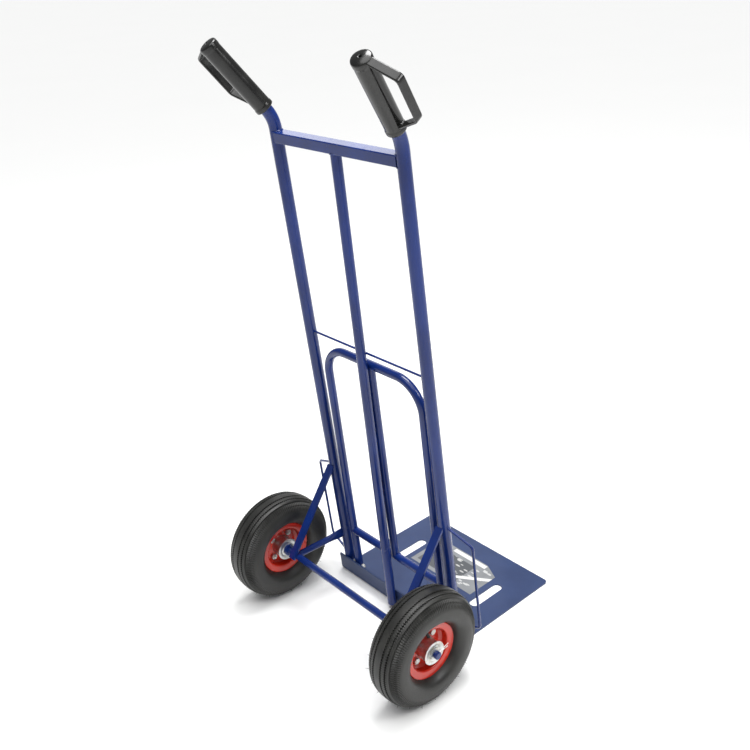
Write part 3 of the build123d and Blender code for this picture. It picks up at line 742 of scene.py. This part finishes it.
# ---- wheels ---------------------------------------------------------------------------
@dataclass
class Tyre:
    """A pneumatic tyre with zigzag tread ribs and a serrated shoulder."""

    side: str
    paints: Paintbox
    steps: int = 288
    zigzag_reach: float = 1.7 * MM
    groove_depth: float = 3.0 * MM
    shoulder_teeth: float = 1.5 * MM
    grooves: tuple[tuple[float, float], ...] = ((0.052, 0.080), (0.146, 0.176), (0.240, 0.272))
    shallow_groove: tuple[float, float] = (0.345, 0.385)
    rings: tuple[tuple[float, float], ...] = ((0.452, 0.462), (0.585, 0.592))
    section_radius: float = 89.5 * MM
    casing_radius: float = 121.2 * MM
    casing_half_width: float = 37.8 * MM
    zigzag_half_width: float = 26.5 * MM
    shoulder_from: float = 31.0 * MM

    def __post_init__(self) -> None:
        """Reads the tyre's size from the frame."""
        low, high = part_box(f"tyre_{self.side}")
        self.middle = (low + high) / 2
        self.radius = (high.z - low.z) / 2
        self.half_width = (high.x - low.x) / 2

    def outline(self, turn: float) -> tuple[float, float]:
        """The outer surface without its tread.

        Args:
            turn: 0 at the tread's middle, 1 at the rim.

        Returns:
            The distance from the middle plane and from the axle.
        """
        angle = turn * math.radians(152)
        rise = self.radius - self.section_radius
        across = self.half_width * abs(math.sin(angle)) ** 0.82
        lift = math.copysign(abs(math.cos(angle)) ** 0.78, math.cos(angle))
        drop = rise if lift > 0 else rise * 0.66
        return across, self.section_radius + drop * lift

    def tread_depth(self, turn: float) -> float:
        """How deep the tread is cut at a place on the outline.

        Args:
            turn: 0 at the tread's middle, 1 at the rim.

        Returns:
            The depth, in metres.
        """
        if any(low <= turn <= high for low, high in self.grooves):
            return self.groove_depth
        if self.shallow_groove[0] <= turn <= self.shallow_groove[1]:
            return self.groove_depth * 0.55
        return 0.7 * MM if any(low <= turn <= high for low, high in self.rings) else 0.0

    def stations(self) -> list[float]:
        """Places on the outline that get a ring of vertices.

        Returns:
            The places, in rising order.
        """
        spots = [0.0]
        for pair in (*self.grooves, self.shallow_groove, *self.rings):
            for edge in pair:
                spots += [edge - 0.002, edge + 0.002]
        spots += [0.025, 0.10, 0.125, 0.20, 0.222, 0.30, 0.325, 0.365, 0.41, 0.43, 0.49, 0.52,
                  0.55, 0.63, 0.67, 0.71, 0.75, 0.79, 0.83, 0.87, 0.91, 0.95, 0.98, 1.0]
        return sorted(spots)

    def build(self) -> None:
        """Makes the tyre and puts it in the place of its CAD node."""
        piece = Piece(f"tyre_treaded_{self.side}")
        half = []
        for turn in self.stations():
            across, height = self.outline(turn)
            depth = self.tread_depth(turn)
            half.append((height - depth, across))
        bead_across, bead_low = 20.4 * MM, 50.7 * MM
        half += [(66.4 * MM, bead_across), (bead_low + 1.5 * MM, bead_across),
                 (bead_low, bead_across - 1.5 * MM), (bead_low, 13.0 * MM), (64 * MM, 14.4 * MM),
                 (79.2 * MM, 31.0 * MM), (94.9 * MM, 37.6 * MM), (108 * MM, 29.0 * MM),
                 (117.5 * MM, 15.0 * MM)]
        closing = [(120.8 * MM, 0.0)]
        mirrored = [(height, -across) for height, across in reversed(half[1:])]
        profile = half + closing + mirrored
        place = local_frame(self.middle, Vector((1, 0, 0)), Vector((0, 0, 1)))
        piece.lathe(profile, place, self.steps)
        self._cut_pattern(piece)
        rubber = self.paints.material(Finish.TYRE)
        tyre = piece.finish(rubber, f"wheel_{self.side}", "tyre_rubber", 28)
        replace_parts(tyre, f"tyre_{self.side}")

    def _cut_pattern(self, piece: Piece) -> None:
        """Bends the ribs into zigzags and serrates the shoulders.

        Args:
            piece: The tyre, still smooth around.
        """
        for vert in piece.mesh.verts:
            arm = vert.co - self.middle
            reach = math.hypot(arm.y, arm.z)
            if reach < 0.080:
                continue
            index = round(math.atan2(arm.y, arm.z) / (2 * math.pi) * self.steps) % self.steps
            width = abs(arm.x)
            in_casing = reach < self.casing_radius and width < self.casing_half_width
            if in_casing and not self._is_outer(reach, width):
                continue
            if width < self.zigzag_half_width:
                sway = -self.zigzag_reach if index % 2 else self.zigzag_reach
                vert.co.x += sway * (1.0 - (width / 0.034) ** 4)
            elif self.shoulder_from < width and 0.101 < reach < 0.1225 and index % 2:
                pull = self.shoulder_teeth * (1.0 if reach > 0.112 else 0.6)
                vert.co.y -= arm.y / reach * pull
                vert.co.z -= arm.z / reach * pull
                vert.co.x -= math.copysign(pull * 0.7, arm.x)

    def _is_outer(self, reach: float, width: float) -> bool:
        """Whether a point lies on the outer surface, not on the inner wall."""
        rise = (reach - self.section_radius) / (self.radius - self.section_radius)
        return (width / self.half_width) ** 2 + rise**2 > 0.84


@dataclass
class Whiskers:
    """The moulding hairs that stand on a new tyre's shoulders."""

    side: str
    paints: Paintbox
    count: int = 84
    length: float = 8.0 * MM
    thickness: float = 0.5 * MM
    seed: int = 7
    tread_root: tuple[float, float] = (126.2 * MM, 20.5 * MM)
    shoulder_root: tuple[float, float] = (119.2 * MM, 33.4 * MM)

    def build(self) -> None:
        """Makes the hairs as one piece."""
        low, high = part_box(f"tyre_{self.side}")
        middle = (low + high) / 2
        rear_limit = low.y
        chance = random.Random(self.seed)
        piece = Piece(f"tyre_hairs_{self.side}")
        for index in range(self.count):
            angle = 2 * math.pi * (index + chance.uniform(-0.3, 0.3)) / self.count
            spoke = Vector((0, math.sin(angle), math.cos(angle)))
            flank = 1.0 if index % 2 else -1.0
            on_tread = index % 4 < 2
            height, across = self.tread_root if on_tread else self.shoulder_root
            root = middle + spoke * height + Vector((flank * across, 0, 0))
            lean = Vector((flank * (0.3 if on_tread else 0.6), 0, 0)) + spoke * 0.8
            sway = spoke.cross(Vector((1, 0, 0))) * chance.uniform(-0.4, 0.4)
            tip = root + (lean + sway).normalized() * self.length * chance.uniform(0.6, 1.1)
            if tip.z < self.thickness * 2 or tip.y < rear_limit + self.thickness * 2:
                continue
            path = [root, (root + tip) / 2 + sway * 0.0008, tip]
            piece.sweep(path, circle_points(self.thickness, 4), Vector((1, 0, 0)),
                        scale=lambda step: 1.0 - 0.3 * step)
        piece.finish(self.paints.material(Finish.TYRE), f"wheel_{self.side}", "tyre_rubber")


@dataclass
class WheelHardware:
    """Rim halves with rolled lips, bolts, nuts, shields and the valve of one wheel."""

    side: str
    paints: Paintbox
    steps: int = 96
    sheet: float = 2.2 * MM

    def __post_init__(self) -> None:
        """Reads the wheel's middle and outward direction from the frame."""
        self.middle = box_middle(f"tyre_{self.side}")
        self.out = Vector((SIDES[self.side], 0, 0))

    def place(self, flank: float, spin: float = 0.0) -> Matrix:
        """A placement at the wheel's middle whose Z points out or, with -1, in."""
        spot = local_frame(self.middle, self.out * flank, Vector((0, 0, 1)))
        return spot @ Matrix.Rotation(spin, 4, "Z")

    def build(self) -> None:
        """Makes all of the wheel's own hardware."""
        self._rims()
        self._bolts()
        self._shields()
        self._valve()

    def _rims(self) -> None:
        """Two pressed halves whose lips roll outwards."""
        corners = [(24.05, 0.0), (42.6, 0.0), (50.4, 5.6), (50.4, 20.2), (62.2, 21.4)]
        for flank, half in ((1.0, "outer"), (-1.0, "inner")):
            spine = [Vector((radius, 0, height)) * MM for radius, height in corners]
            back = rounded_path(spine, 2.0 * MM, 5)
            lip = [Vector((62.6 + 2.4 * math.sin(turn), 0, 23.2 - 1.8 * math.cos(turn))) * MM
                   for turn in (0.3, 0.8, 1.3, 1.8, 2.4)]
            outline = self._thickened(back[:-1] + lip)
            piece = Piece(f"rim_pressed_{half}_{self.side}")
            piece.lathe([(spot.x, spot.z) for spot in outline], self.place(flank), self.steps)
            rim = piece.finish(self.paints.material(Finish.RED_PAINT), f"wheel_{self.side}",
                               "red_paint", 50)
            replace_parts(rim, f"rim_{half}_{self.side}")

    def _thickened(self, back: Sequence[Vector]) -> list[Vector]:
        """Closes a sheet's back line into its full section.

        Args:
            back: The back line.

        Returns:
            The section, in order round it.
        """
        face = []
        for index, spot in enumerate(back):
            run = back[min(index + 1, len(back) - 1)] - back[max(index - 1, 0)]
            normal = Vector((-run.z, 0, run.x)).normalized()
            face.append(spot + normal * self.sheet)
        return list(back) + list(reversed(face))

    def _bolts(self) -> None:
        """Bolts from the outside, nuts on the inside."""
        bolts = Piece(f"rim_bolt_set_{self.side}")
        nuts = Piece(f"rim_nut_set_{self.side}")
        for index in range(4):
            turn = math.radians(45 + 90 * index)
            shift = Matrix.Translation((34 * MM, 0, self.sheet))
            head = self.place(1.0, turn) @ shift
            twist = Matrix.Rotation(math.pi / 6, 4, "Z")
            bolts.hexagon(head @ twist, 13 * MM, 5.3 * MM, 0.8 * MM)
            washer = [(3.9 * MM, 5.2 * MM), (5.6 * MM, 5.2 * MM), (5.4 * MM, 5.6 * MM),
                      (0.01 * MM, 5.6 * MM)]
            bolts.lathe(washer, head, 20, closed=False)
            tail = self.place(-1.0, -turn) @ shift
            shank = [(0.01 * MM, 9.5 * MM), (3.2 * MM, 9.5 * MM), (4.0 * MM, 8.7 * MM),
                     (4.0 * MM, 0.2 * MM), (0.01 * MM, 0.2 * MM)]
            bolts.lathe(shank, tail, 20, closed=False)
            nuts.hexagon(tail @ twist, 13 * MM, 6.4 * MM, 0.9 * MM)
        zinc = self.paints.material(Finish.ZINC)
        made = bolts.finish(zinc, f"wheel_{self.side}", "zinc")
        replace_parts(made, f"rim_bolts_{self.side}")
        made = nuts.finish(zinc, f"wheel_{self.side}", "zinc")
        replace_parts(made, f"rim_nuts_{self.side}")

    def _shields(self) -> None:
        """Pressed dust shields with a raised ring, on both ends of the hub."""
        piece = Piece(f"hub_dust_shields_{self.side}")
        low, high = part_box(f"hub_shields_{self.side}")
        reach = (high.x - low.x) / 2
        for flank in (1.0, -1.0):
            profile = [(9.6, -1.4), (9.6, -0.2), (10.4, 0.0), (14.6, 0.0), (15.6, -1.1),
                       (18.4, -1.1), (19.4, 0.0), (25.6, 0.0), (26.8, -0.5), (27.0, -1.45)]
            outline = [(radius * MM, reach + height * MM) for radius, height in profile]
            piece.lathe(outline, self.place(flank), 64)
        made = piece.finish(self.paints.material(Finish.ZINC), f"wheel_{self.side}", "zinc", 50)
        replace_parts(made, f"hub_shields_{self.side}")

    def _valve(self) -> None:
        """A rubber valve stem with a knurled cap."""
        tilt = math.radians(60)
        lean = self.out * math.cos(tilt) + Vector((0, 0, -math.sin(tilt)))
        root = self.middle + self.out * 8 * MM + Vector((0, 0, 49.5 * MM)) - lean * 16.8 * MM
        profile = [(0.01, 0.0), (3.9, 0.0), (3.9, 12.0), (3.95, 20.0), (3.6, 24.0), (2.9, 27.0),
                   (2.9, 28.0), (3.7, 28.2), (3.8, 36.6), (3.0, 37.7), (0.01, 37.8)]
        outline = [(radius * MM, height * MM) for radius, height in profile]
        piece = Piece(f"valve_stem_{self.side}")
        piece.lathe(outline, local_frame(root, lean, Vector((0, 1, 0))), 24, closed=False)
        rubber = self.paints.material(Finish.VALVE)
        made = piece.finish(rubber, f"wheel_{self.side}", "valve_rubber")
        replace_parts(made, f"valve_{self.side}")


# ---- grips ----------------------------------------------------------------------------
@dataclass
class Grip:
    """A moulded sleeve with a rimmed cap and a flat knuckle guard."""

    side: str
    paints: Paintbox
    layout: Layout
    start: float = 25 * MM
    length: float = 165 * MM
    radius: float = 18.3 * MM
    bore: float = 13.1 * MM
    bore_depth: float = 155 * MM
    guard_reach: float = 69.3 * MM
    guard_width: float = 17.4 * MM
    guard_thickness: float = 4.9 * MM
    voxel: float = 1.05 * MM

    def build(self) -> None:
        """Makes the grip as one blended moulding."""
        flank = SIDES[self.side]
        handle = self.layout.handle.copy()
        handle.x *= flank
        across = self.layout.upright_across * flank
        corner = self.layout.point(across, 0, self.layout.bend_along)
        outward = Vector((flank, 0, 0)) - handle * handle.x * flank
        place = local_frame(corner + handle * self.start, handle, outward)
        piece = Piece(f"grip_moulded_{self.side}")
        piece.lathe(self._sleeve(), place, 72)
        self._guard(piece, place)
        grip = piece.finish(self.paints.material(Finish.GRIP), "frame", "grip_plastic")
        remesh = grip.modifiers.new("blend", "REMESH")
        remesh.mode = "VOXEL"
        remesh.voxel_size = self.voxel
        remesh.use_smooth_shade = True
        smooth = grip.modifiers.new("soften", "SMOOTH")
        smooth.factor = 0.5
        smooth.iterations = 5
        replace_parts(grip, f"grip_{self.side}")

    def _sleeve(self) -> list[tuple[float, float]]:
        """The section of the sleeve: mouth bead, barrel, cap rim and vented dome.

        Returns:
            Points as (radius, height), in order.
        """
        end = self.length - 0.4 * MM
        dome = [(19.0 * MM * math.cos(turn), end - 5.2 * MM + 5.2 * MM * math.sin(turn))
                for turn in (0.0, 0.35, 0.7, 1.0, 1.25, 1.4)]
        barrel = [(self.bore, 0.3 * MM), (19.2 * MM, 0.3 * MM), (19.4 * MM, 1.5 * MM),
                  (19.4 * MM, 8.0 * MM), (self.radius, 10.0 * MM), (self.radius, 149.5 * MM),
                  (19.0 * MM, 151.5 * MM)]
        inside = [(2.6 * MM, end - 0.6 * MM), (2.6 * MM, self.bore_depth),
                  (self.bore, self.bore_depth)]
        return barrel + dome + inside

    def _guard(self, piece: Piece, place: Matrix) -> None:
        """The flat band that stands off the sleeve in front of the knuckles.

        Args:
            piece: The grip in the making.
            place: Where the sleeve starts.
        """
        corners = [Vector((15.8 * MM, 0, 14 * MM)), Vector((self.guard_reach, 0, 48 * MM)),
                   Vector((self.guard_reach, 0, 138 * MM)), Vector((15.8 * MM, 0, 158 * MM))]
        path = [place @ spot for spot in rounded_path(corners, 9 * MM, 6)]
        section = rounded_rectangle(self.guard_width, self.guard_thickness, 1.9 * MM)
        piece.sweep(path, section, place.to_3x3() @ Vector((0, 1, 0)))


# ---- small steel parts ----------------------------------------------------------------
@dataclass
class SplitPin:
    """A split pin: one wire doubled back through the axle, its prongs slightly open."""

    side: str
    paints: Paintbox
    wire: float = 0.85 * MM
    eye_radius: float = 2.6 * MM
    rise: float = math.radians(10)
    rear_neck: float = 9 * MM
    prong: float = 34 * MM

    def build(self) -> None:
        """Makes the pin in its hole."""
        middle = box_middle(f"cotter_pin_{self.side}")
        axle = box_middle("axle")
        middle.y, middle.z = axle.y, axle.z
        forward = Vector((0, math.cos(self.rise), math.sin(self.rise)))
        upward = Vector((0, -forward.z, forward.y))
        eye = middle - forward * (self.rear_neck + self.eye_radius)
        loop = []
        for index in range(13):
            turn = math.radians(158 - 316 * index / 12)
            spoke = forward * math.cos(turn) - upward * math.sin(turn)
            loop.append(eye - spoke * self.eye_radius)
        upper = self._prong(middle, forward, upward, 1.0)
        lower = self._prong(middle, forward, upward, -1.0)
        piece = Piece(f"split_pin_{self.side}")
        path = list(reversed(upper)) + loop + lower
        piece.sweep(path, circle_points(self.wire, 10), Vector((1, 0, 0)))
        made = piece.finish(self.paints.material(Finish.ZINC), "frame", "zinc")
        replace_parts(made, f"cotter_pin_{self.side}")

    def _prong(
        self, middle: Vector, forward: Vector, upward: Vector, flank: float
    ) -> list[Vector]:
        """One leg of the pin, from behind the axle to its free end.

        Args:
            middle: The middle of its hole.
            forward: The direction of the prongs.
            upward: The direction in which they open.
            flank: 1 for the upper leg, -1 for the lower.

        Returns:
            The leg's points.
        """
        return [
            middle - forward * (self.rear_neck - 1 * MM) + upward * flank * 0.9 * MM,
            middle + forward * 9 * MM + upward * flank * 0.9 * MM,
            middle + forward * 12 * MM + upward * flank * 1.4 * MM,
            middle + forward * (self.prong + flank * 1.5 * MM) + upward * flank * 3.2 * MM,
        ]


@dataclass
class PivotHardware:
    """Chamfered pivot bolts and locknuts of the toe frame."""

    paints: Paintbox

    def build(self) -> None:
        """Makes the bolts and the nuts of both sides."""
        bolts = Piece("pivot_bolt_set")
        nuts = Piece("pivot_locknut_set")
        pivot = box_middle("pivot_bolts")
        low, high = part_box("pivot_bolts")
        outer = (high.x - low.x) / 2
        nut_low, nut_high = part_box("pivot_nuts")
        nut_face = (nut_high.x - nut_low.x) / 2
        for flank in SIDES.values():
            out = Vector((flank, 0, 0))
            head = local_frame(pivot + out * (outer - 5.5 * MM), out, Vector((0, 0, 1)))
            bolts.hexagon(head, 13 * MM, 5.4 * MM, 0.8 * MM)
            end = nut_face - 8 * MM - 2 * MM
            shank = [(0.01 * MM, 0.0), (3.3 * MM, 0.0), (3.98 * MM, 0.8 * MM),
                     (3.98 * MM, outer - 5.5 * MM - end), (0.01 * MM, outer - 5.5 * MM - end)]
            tail = local_frame(pivot + out * end, out, Vector((0, 0, 1)))
            bolts.lathe(shank, tail, 24, closed=False)
            nut = local_frame(pivot + out * nut_face, -out, Vector((0, 0, 1)))
            nuts.hexagon(nut, 13 * MM, 6.0 * MM, 0.8 * MM)
            collar = [(4.05 * MM, 5.0 * MM), (5.9 * MM, 5.0 * MM), (5.8 * MM, 7.2 * MM),
                      (5.0 * MM, 7.95 * MM), (4.05 * MM, 7.95 * MM)]
            nuts.lathe(collar, nut, 28)
        zinc = self.paints.material(Finish.ZINC)
        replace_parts(bolts.finish(zinc, "frame", "zinc"), "pivot_bolts")
        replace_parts(nuts.finish(zinc, "frame", "zinc"), "pivot_nuts")


# ---- weld beads -----------------------------------------------------------------------
@dataclass
class Seam:
    """A weld seam where the end of a bar meets another piece."""

    name: str
    end: Vector
    run: Vector
    target: str
    radius: float
    bead: float = 1.7 * MM
    square: tuple[float, float] | None = None
    lean_to: Vector = field(default_factory=lambda: Vector((1, 0, 0)))
    depth: float = 46 * MM


@dataclass
class Welder:
    """Lays rippled beads along seams found on the frame's own surfaces."""

    paints: Paintbox
    layout: Layout
    points: int = 44
    approach: float = 34 * MM
    trees: dict[str, BVHTree] = field(default_factory=dict)

    def surface(self, node: str) -> BVHTree:
        """A search tree of one CAD node's surface.

        Args:
            node: The node's name.

        Returns:
            The tree, made once for each node.
        """
        if node not in self.trees:
            data = frame["nodes"][node].data
            corners = [vert.co.copy() for vert in data.vertices]
            faces = [tuple(face.vertices) for face in data.polygons]
            self.trees[node] = BVHTree.FromPolygons(corners, faces)
        return self.trees[node]

    def path(self, seam: Seam) -> list[Vector]:
        """The closed line where the bar's outside meets the target.

        Args:
            seam: The seam.

        Returns:
            The points that were found.
        """
        run = seam.run.normalized()
        spot = local_frame(seam.end - run * self.approach, run, seam.lean_to)
        if seam.square:
            ring = rounded_rectangle(*seam.square, 3 * MM, 4)
            ring = self._evened(ring, self.points)
        else:
            ring = circle_points(seam.radius, self.points)
        line = []
        for corner in ring:
            start = spot @ corner
            reach = self.approach + seam.depth
            hit = self.surface(seam.target).ray_cast(start, run, reach)[0]
            if hit is not None:
                line.append(hit)
        return line

    @staticmethod
    def _evened(ring: Sequence[Vector], count: int) -> list[Vector]:
        """Spreads a closed ring's points evenly.

        Args:
            ring: The ring.
            count: How many points to give back.

        Returns:
            The evened points.
        """
        loop = list(ring) + [ring[0]]
        lengths = [(after - before).length for before, after in zip(loop, loop[1:])]
        total = sum(lengths)
        spread = []
        for index in range(count):
            wanted = total * index / count
            step = 0
            while wanted > lengths[step]:
                wanted -= lengths[step]
                step += 1
            spread.append(loop[step].lerp(loop[step + 1], wanted / lengths[step]))
        return spread

    def lay(self, name: str, seams: Sequence[Seam], body: str) -> None:
        """Makes one piece of all the beads that move with a body.

        Args:
            name: The piece's name.
            seams: The seams.
            body: The CAD body that the beads ride on.
        """
        piece = Piece(name)
        for seam in seams:
            line = self.path(seam)
            if len(line) < self.points * 0.9:
                LOG.warning("seam %s found only %d points", seam.name, len(line))
                if len(line) < 6:
                    continue
            whole = len(line) == self.points
            piece.sweep(line, circle_points(seam.bead, 8), seam.run, closed=whole,
                        scale=lambda index: 0.88 + 0.14 * abs(math.sin(index * 1.57)))
        piece.finish(self.paints.material(Finish.BLUE_PAINT), body, "blue_paint", 60)

    def frame_seams(self) -> list[Seam]:
        """The seams of the fixed frame.

        Returns:
            The seams.
        """
        point = self.layout.point
        along = self.layout.along
        across = Vector((1, 0, 0))
        seams = [Seam("strut_top", point(0, 2, 1107), along, "crossbar", 10.9 * MM)]
        for side, flank in SIDES.items():
            out = across * flank
            upright = f"upright_{side}"
            seams += [
                Seam("crossbar", point(flank * 172, 0, 1118), out, upright, 0, 2.0 * MM,
                     (26.4 * MM, 22.4 * MM), self.layout.rear),
                Seam("stop_rod", point(flank * 170, -1.0, 685), out, upright, 2.7 * MM, 1.5 * MM),
                Seam("foot", point(flank * self.layout.upright_across, 0, 8), -along,
                     "toe_plate", 13.4 * MM, 1.7 * MM, depth=6 * MM),
            ]
            seams += self._brace_seams(side, flank)
        return seams

    def _brace_seams(self, side: str, flank: float) -> list[Seam]:
        """The seams of one side's lower brace and wheel guard.

        Args:
            side: The side, left or right.
            flank: 1 for the right side, -1 for the left.

        Returns:
            The seams.
        """
        point = self.layout.point
        upright = f"upright_{side}"
        axle = Vector((flank * 183 * MM, self.layout.axle.y, self.layout.axle.z))
        brace_front = point(flank * 183, 13, 126)
        run = (brace_front - axle).normalized()
        guard_top = point(flank * 198, 0, 325)
        guard_top_run = guard_top - point(flank * 257, -8, 300)
        guard_low = point(flank * 198, 0, 56)
        guard_low_run = guard_low - point(flank * 257, -8, 74)
        return [
            Seam("brace_front", brace_front - run * 2 * MM, run, upright, 0, 1.6 * MM,
                 (6.6 * MM, 25 * MM), Vector((1, 0, 0))),
            Seam("brace_rear", axle + run * 8.5 * MM, -run, "axle", 7.9 * MM, 1.7 * MM),
            Seam("guard_top", guard_top, guard_top_run, upright, 3.1 * MM, 1.5 * MM),
            Seam("guard_low", guard_low, guard_low_run, upright, 3.1 * MM, 1.5 * MM),
        ]

    def toe_frame_seams(self) -> list[Seam]:
        """The seams of the folding toe frame.

        Returns:
            The seams.
        """
        across = Vector((1, 0, 0))
        low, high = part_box("toe_frame_cross")
        rail = (low + high) / 2
        low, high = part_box("toe_frame_strut")
        strut_low = Vector((0, high.y, low.z))
        strut_high = Vector((0, low.y, high.z))
        up = (strut_high - strut_low).normalized()
        middle = (strut_low + strut_high) / 2
        reach = (strut_high - strut_low).length / 2 - 14 * MM
        seams = [
            Seam("strut_low", middle - up * reach, -up, "toe_frame_cross", 9.5 * MM, 1.6 * MM),
            Seam("strut_high", middle + up * reach, up, "toe_frame_loop", 9.5 * MM, 1.6 * MM),
        ]
        for flank in SIDES.values():
            seams.append(Seam("rail", rail + across * flank * 120 * MM, across * flank,
                              "toe_frame_loop", 9.6 * MM, 1.6 * MM))
        return seams


# ---- the truck as a whole -------------------------------------------------------------
@dataclass
class Truck:
    """Builds every visible piece and dresses the CAD nodes that stay."""

    paints: Paintbox = field(default_factory=Paintbox)
    layout: Layout = field(default_factory=Layout)

    def build(self) -> None:
        """Makes the pieces in order."""
        for side in SIDES:
            Tyre(side, self.paints).build()
            Whiskers(side, self.paints).build()
            WheelHardware(side, self.paints).build()
            Grip(side, self.paints, self.layout).build()
            SplitPin(side, self.paints).build()
        PivotHardware(self.paints).build()
        welder = Welder(self.paints, self.layout)
        welder.lay("frame_welds", welder.frame_seams(), "frame")
        welder.lay("toe_frame_welds", welder.toe_frame_seams(), "toe_frame")
        self._dress()

    def _label(self) -> FilmFinish:
        """The blank label's finish, centred on its node.

        Returns:
            The finish.
        """
        low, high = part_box("plate_label")
        middle = (low + high) / 2
        size = high - low
        return FilmFinish("label_film", (0.24, 0.25, 0.26), (0.050, 0.055, 0.062),
                          (0.70, 0.70, 0.68), (middle.x, middle.y), (size.x, size.y))

    def _dress(self) -> None:
        """Gives every CAD node the finish of its material slot."""
        finishes = {
            "blue_paint": Finish.BLUE_PAINT,
            "plate_paint": Finish.PLATE_PAINT,
            "red_paint": Finish.RED_PAINT,
            "zinc": Finish.ZINC,
            "bearing_steel": Finish.BEARING_STEEL,
            "tyre_rubber": Finish.TYRE,
            "tube_rubber": Finish.TUBE,
            "valve_rubber": Finish.VALVE,
            "grip_plastic": Finish.GRIP,
            "label_film": self._label(),
        }
        for row in frame["record"]["subparts"]:
            node = frame["nodes"][row["node"]]
            material = self.paints.material(finishes[row["material_slot"]])
            if not node.data.materials:
                node.data.materials.append(material)
            for slot in node.material_slots:
                slot.material = material


@dataclass
class Studio:
    """Pale floor, soft lights and the camera."""

    paints: Paintbox
    yaw: float = 0.88156
    pitch: float = 0.45121
    roll: float = -0.06988
    camera_place: tuple[float, float, float] = (1.35774, -1.16077, 1.48293)
    focal_share: float = 929.1 / 750
    sensor: float = 36.0
    shift: tuple[float, float] = (0.0025, -0.0025)

    def build(self) -> None:
        """Makes the stage."""
        self._floor()
        self._camera()
        self._world()
        self._sun("sky", (0.5, -0.4, 3.0), 2.5, 60.0)
        self._lamp("key", (-0.2, 0.5, 3.1), (0.0, 0.0, 0.6), 1.1, 60.0)
        self._lamp("window", (1.9, 0.6, 2.3), (0.0, 0.0, 0.7), 0.8, 22.0)
        self._lamp("far_wall", (-2.9, 2.4, 2.3), (0.0, 0.0, 0.9), 1.6, 15.0)
        view = bpy.context.scene.view_settings
        view.view_transform = "Standard"
        view.look = "None"
        view.exposure = 0.0

    def _floor(self) -> None:
        """A wide floor just under the truck."""
        grid = bmesh.new()
        bmesh.ops.create_grid(grid, x_segments=8, y_segments=8, size=70.0)
        data = bpy.data.meshes.new("studio_floor")
        grid.to_mesh(data)
        grid.free()
        data.materials.append(self.paints.material(Finish.FLOOR))
        floor = bpy.data.objects.new("studio_floor", data)
        bpy.context.scene.collection.objects.link(floor)

    def _camera(self) -> None:
        """The camera, turned by yaw, pitch and roll."""
        data = bpy.data.cameras.new("camera")
        data.sensor_width = self.sensor
        data.lens = self.focal_share * self.sensor
        data.shift_x, data.shift_y = self.shift
        level = Vector((math.cos(self.yaw), math.sin(self.yaw), 0))
        ahead = Vector((-math.sin(self.yaw) * math.cos(self.pitch),
                        math.cos(self.yaw) * math.cos(self.pitch), -math.sin(self.pitch)))
        upright = level.cross(ahead)
        right = level * math.cos(self.roll) + upright * math.sin(self.roll)
        up = upright * math.cos(self.roll) - level * math.sin(self.roll)
        turn = Matrix((right, up, -ahead)).transposed().to_4x4()
        camera = bpy.data.objects.new("camera", data)
        camera.matrix_world = Matrix.Translation(Vector(self.camera_place)) @ turn
        bpy.context.scene.collection.objects.link(camera)
        bpy.context.scene.camera = camera

    def _world(self) -> None:
        """A soft white room."""
        world = bpy.data.worlds.new("room")
        world.use_nodes = True
        background = world.node_tree.nodes["Background"]
        background.inputs["Color"].default_value = (0.97, 0.98, 1.0, 1.0)
        background.inputs["Strength"].default_value = 0.28
        bpy.context.scene.world = world

    @staticmethod
    def _sun(name: str, place: tuple[float, float, float], power: float, spread: float) -> None:
        """An even light over the whole floor.

        Args:
            name: The lamp's name.
            place: Where the light comes from, seen from the origin.
            power: Its strength in watts per square metre.
            spread: How wide the source looks, in degrees.
        """
        data = bpy.data.lights.new(name, "SUN")
        data.energy = power
        data.angle = math.radians(spread)
        lamp = bpy.data.objects.new(name, data)
        lamp.rotation_euler = (-Vector(place)).to_track_quat("-Z", "Y").to_euler()
        bpy.context.scene.collection.objects.link(lamp)

    @staticmethod
    def _lamp(
        name: str,
        place: tuple[float, float, float],
        aim: tuple[float, float, float],
        size: float,
        power: float,
    ) -> None:
        """One square soft lamp.

        Args:
            name: The lamp's name.
            place: Where it hangs, in metres.
            aim: What it points at.
            size: The length of its side.
            power: Its power in watts.
        """
        data = bpy.data.lights.new(name, "AREA")
        data.shape = "SQUARE"
        data.size = size
        data.energy = power
        lamp = bpy.data.objects.new(name, data)
        lamp.location = place
        lamp.rotation_euler = (Vector(aim) - Vector(place)).to_track_quat("-Z", "Y").to_euler()
        bpy.context.scene.collection.objects.link(lamp)


def main() -> None:
    """Builds the truck and the studio."""
    logging.basicConfig(level=logging.INFO, format="%(name)s %(message)s")
    truck = Truck()
    truck.build()
    Studio(truck.paints).build()


if __name__ == "__main__":
    main()
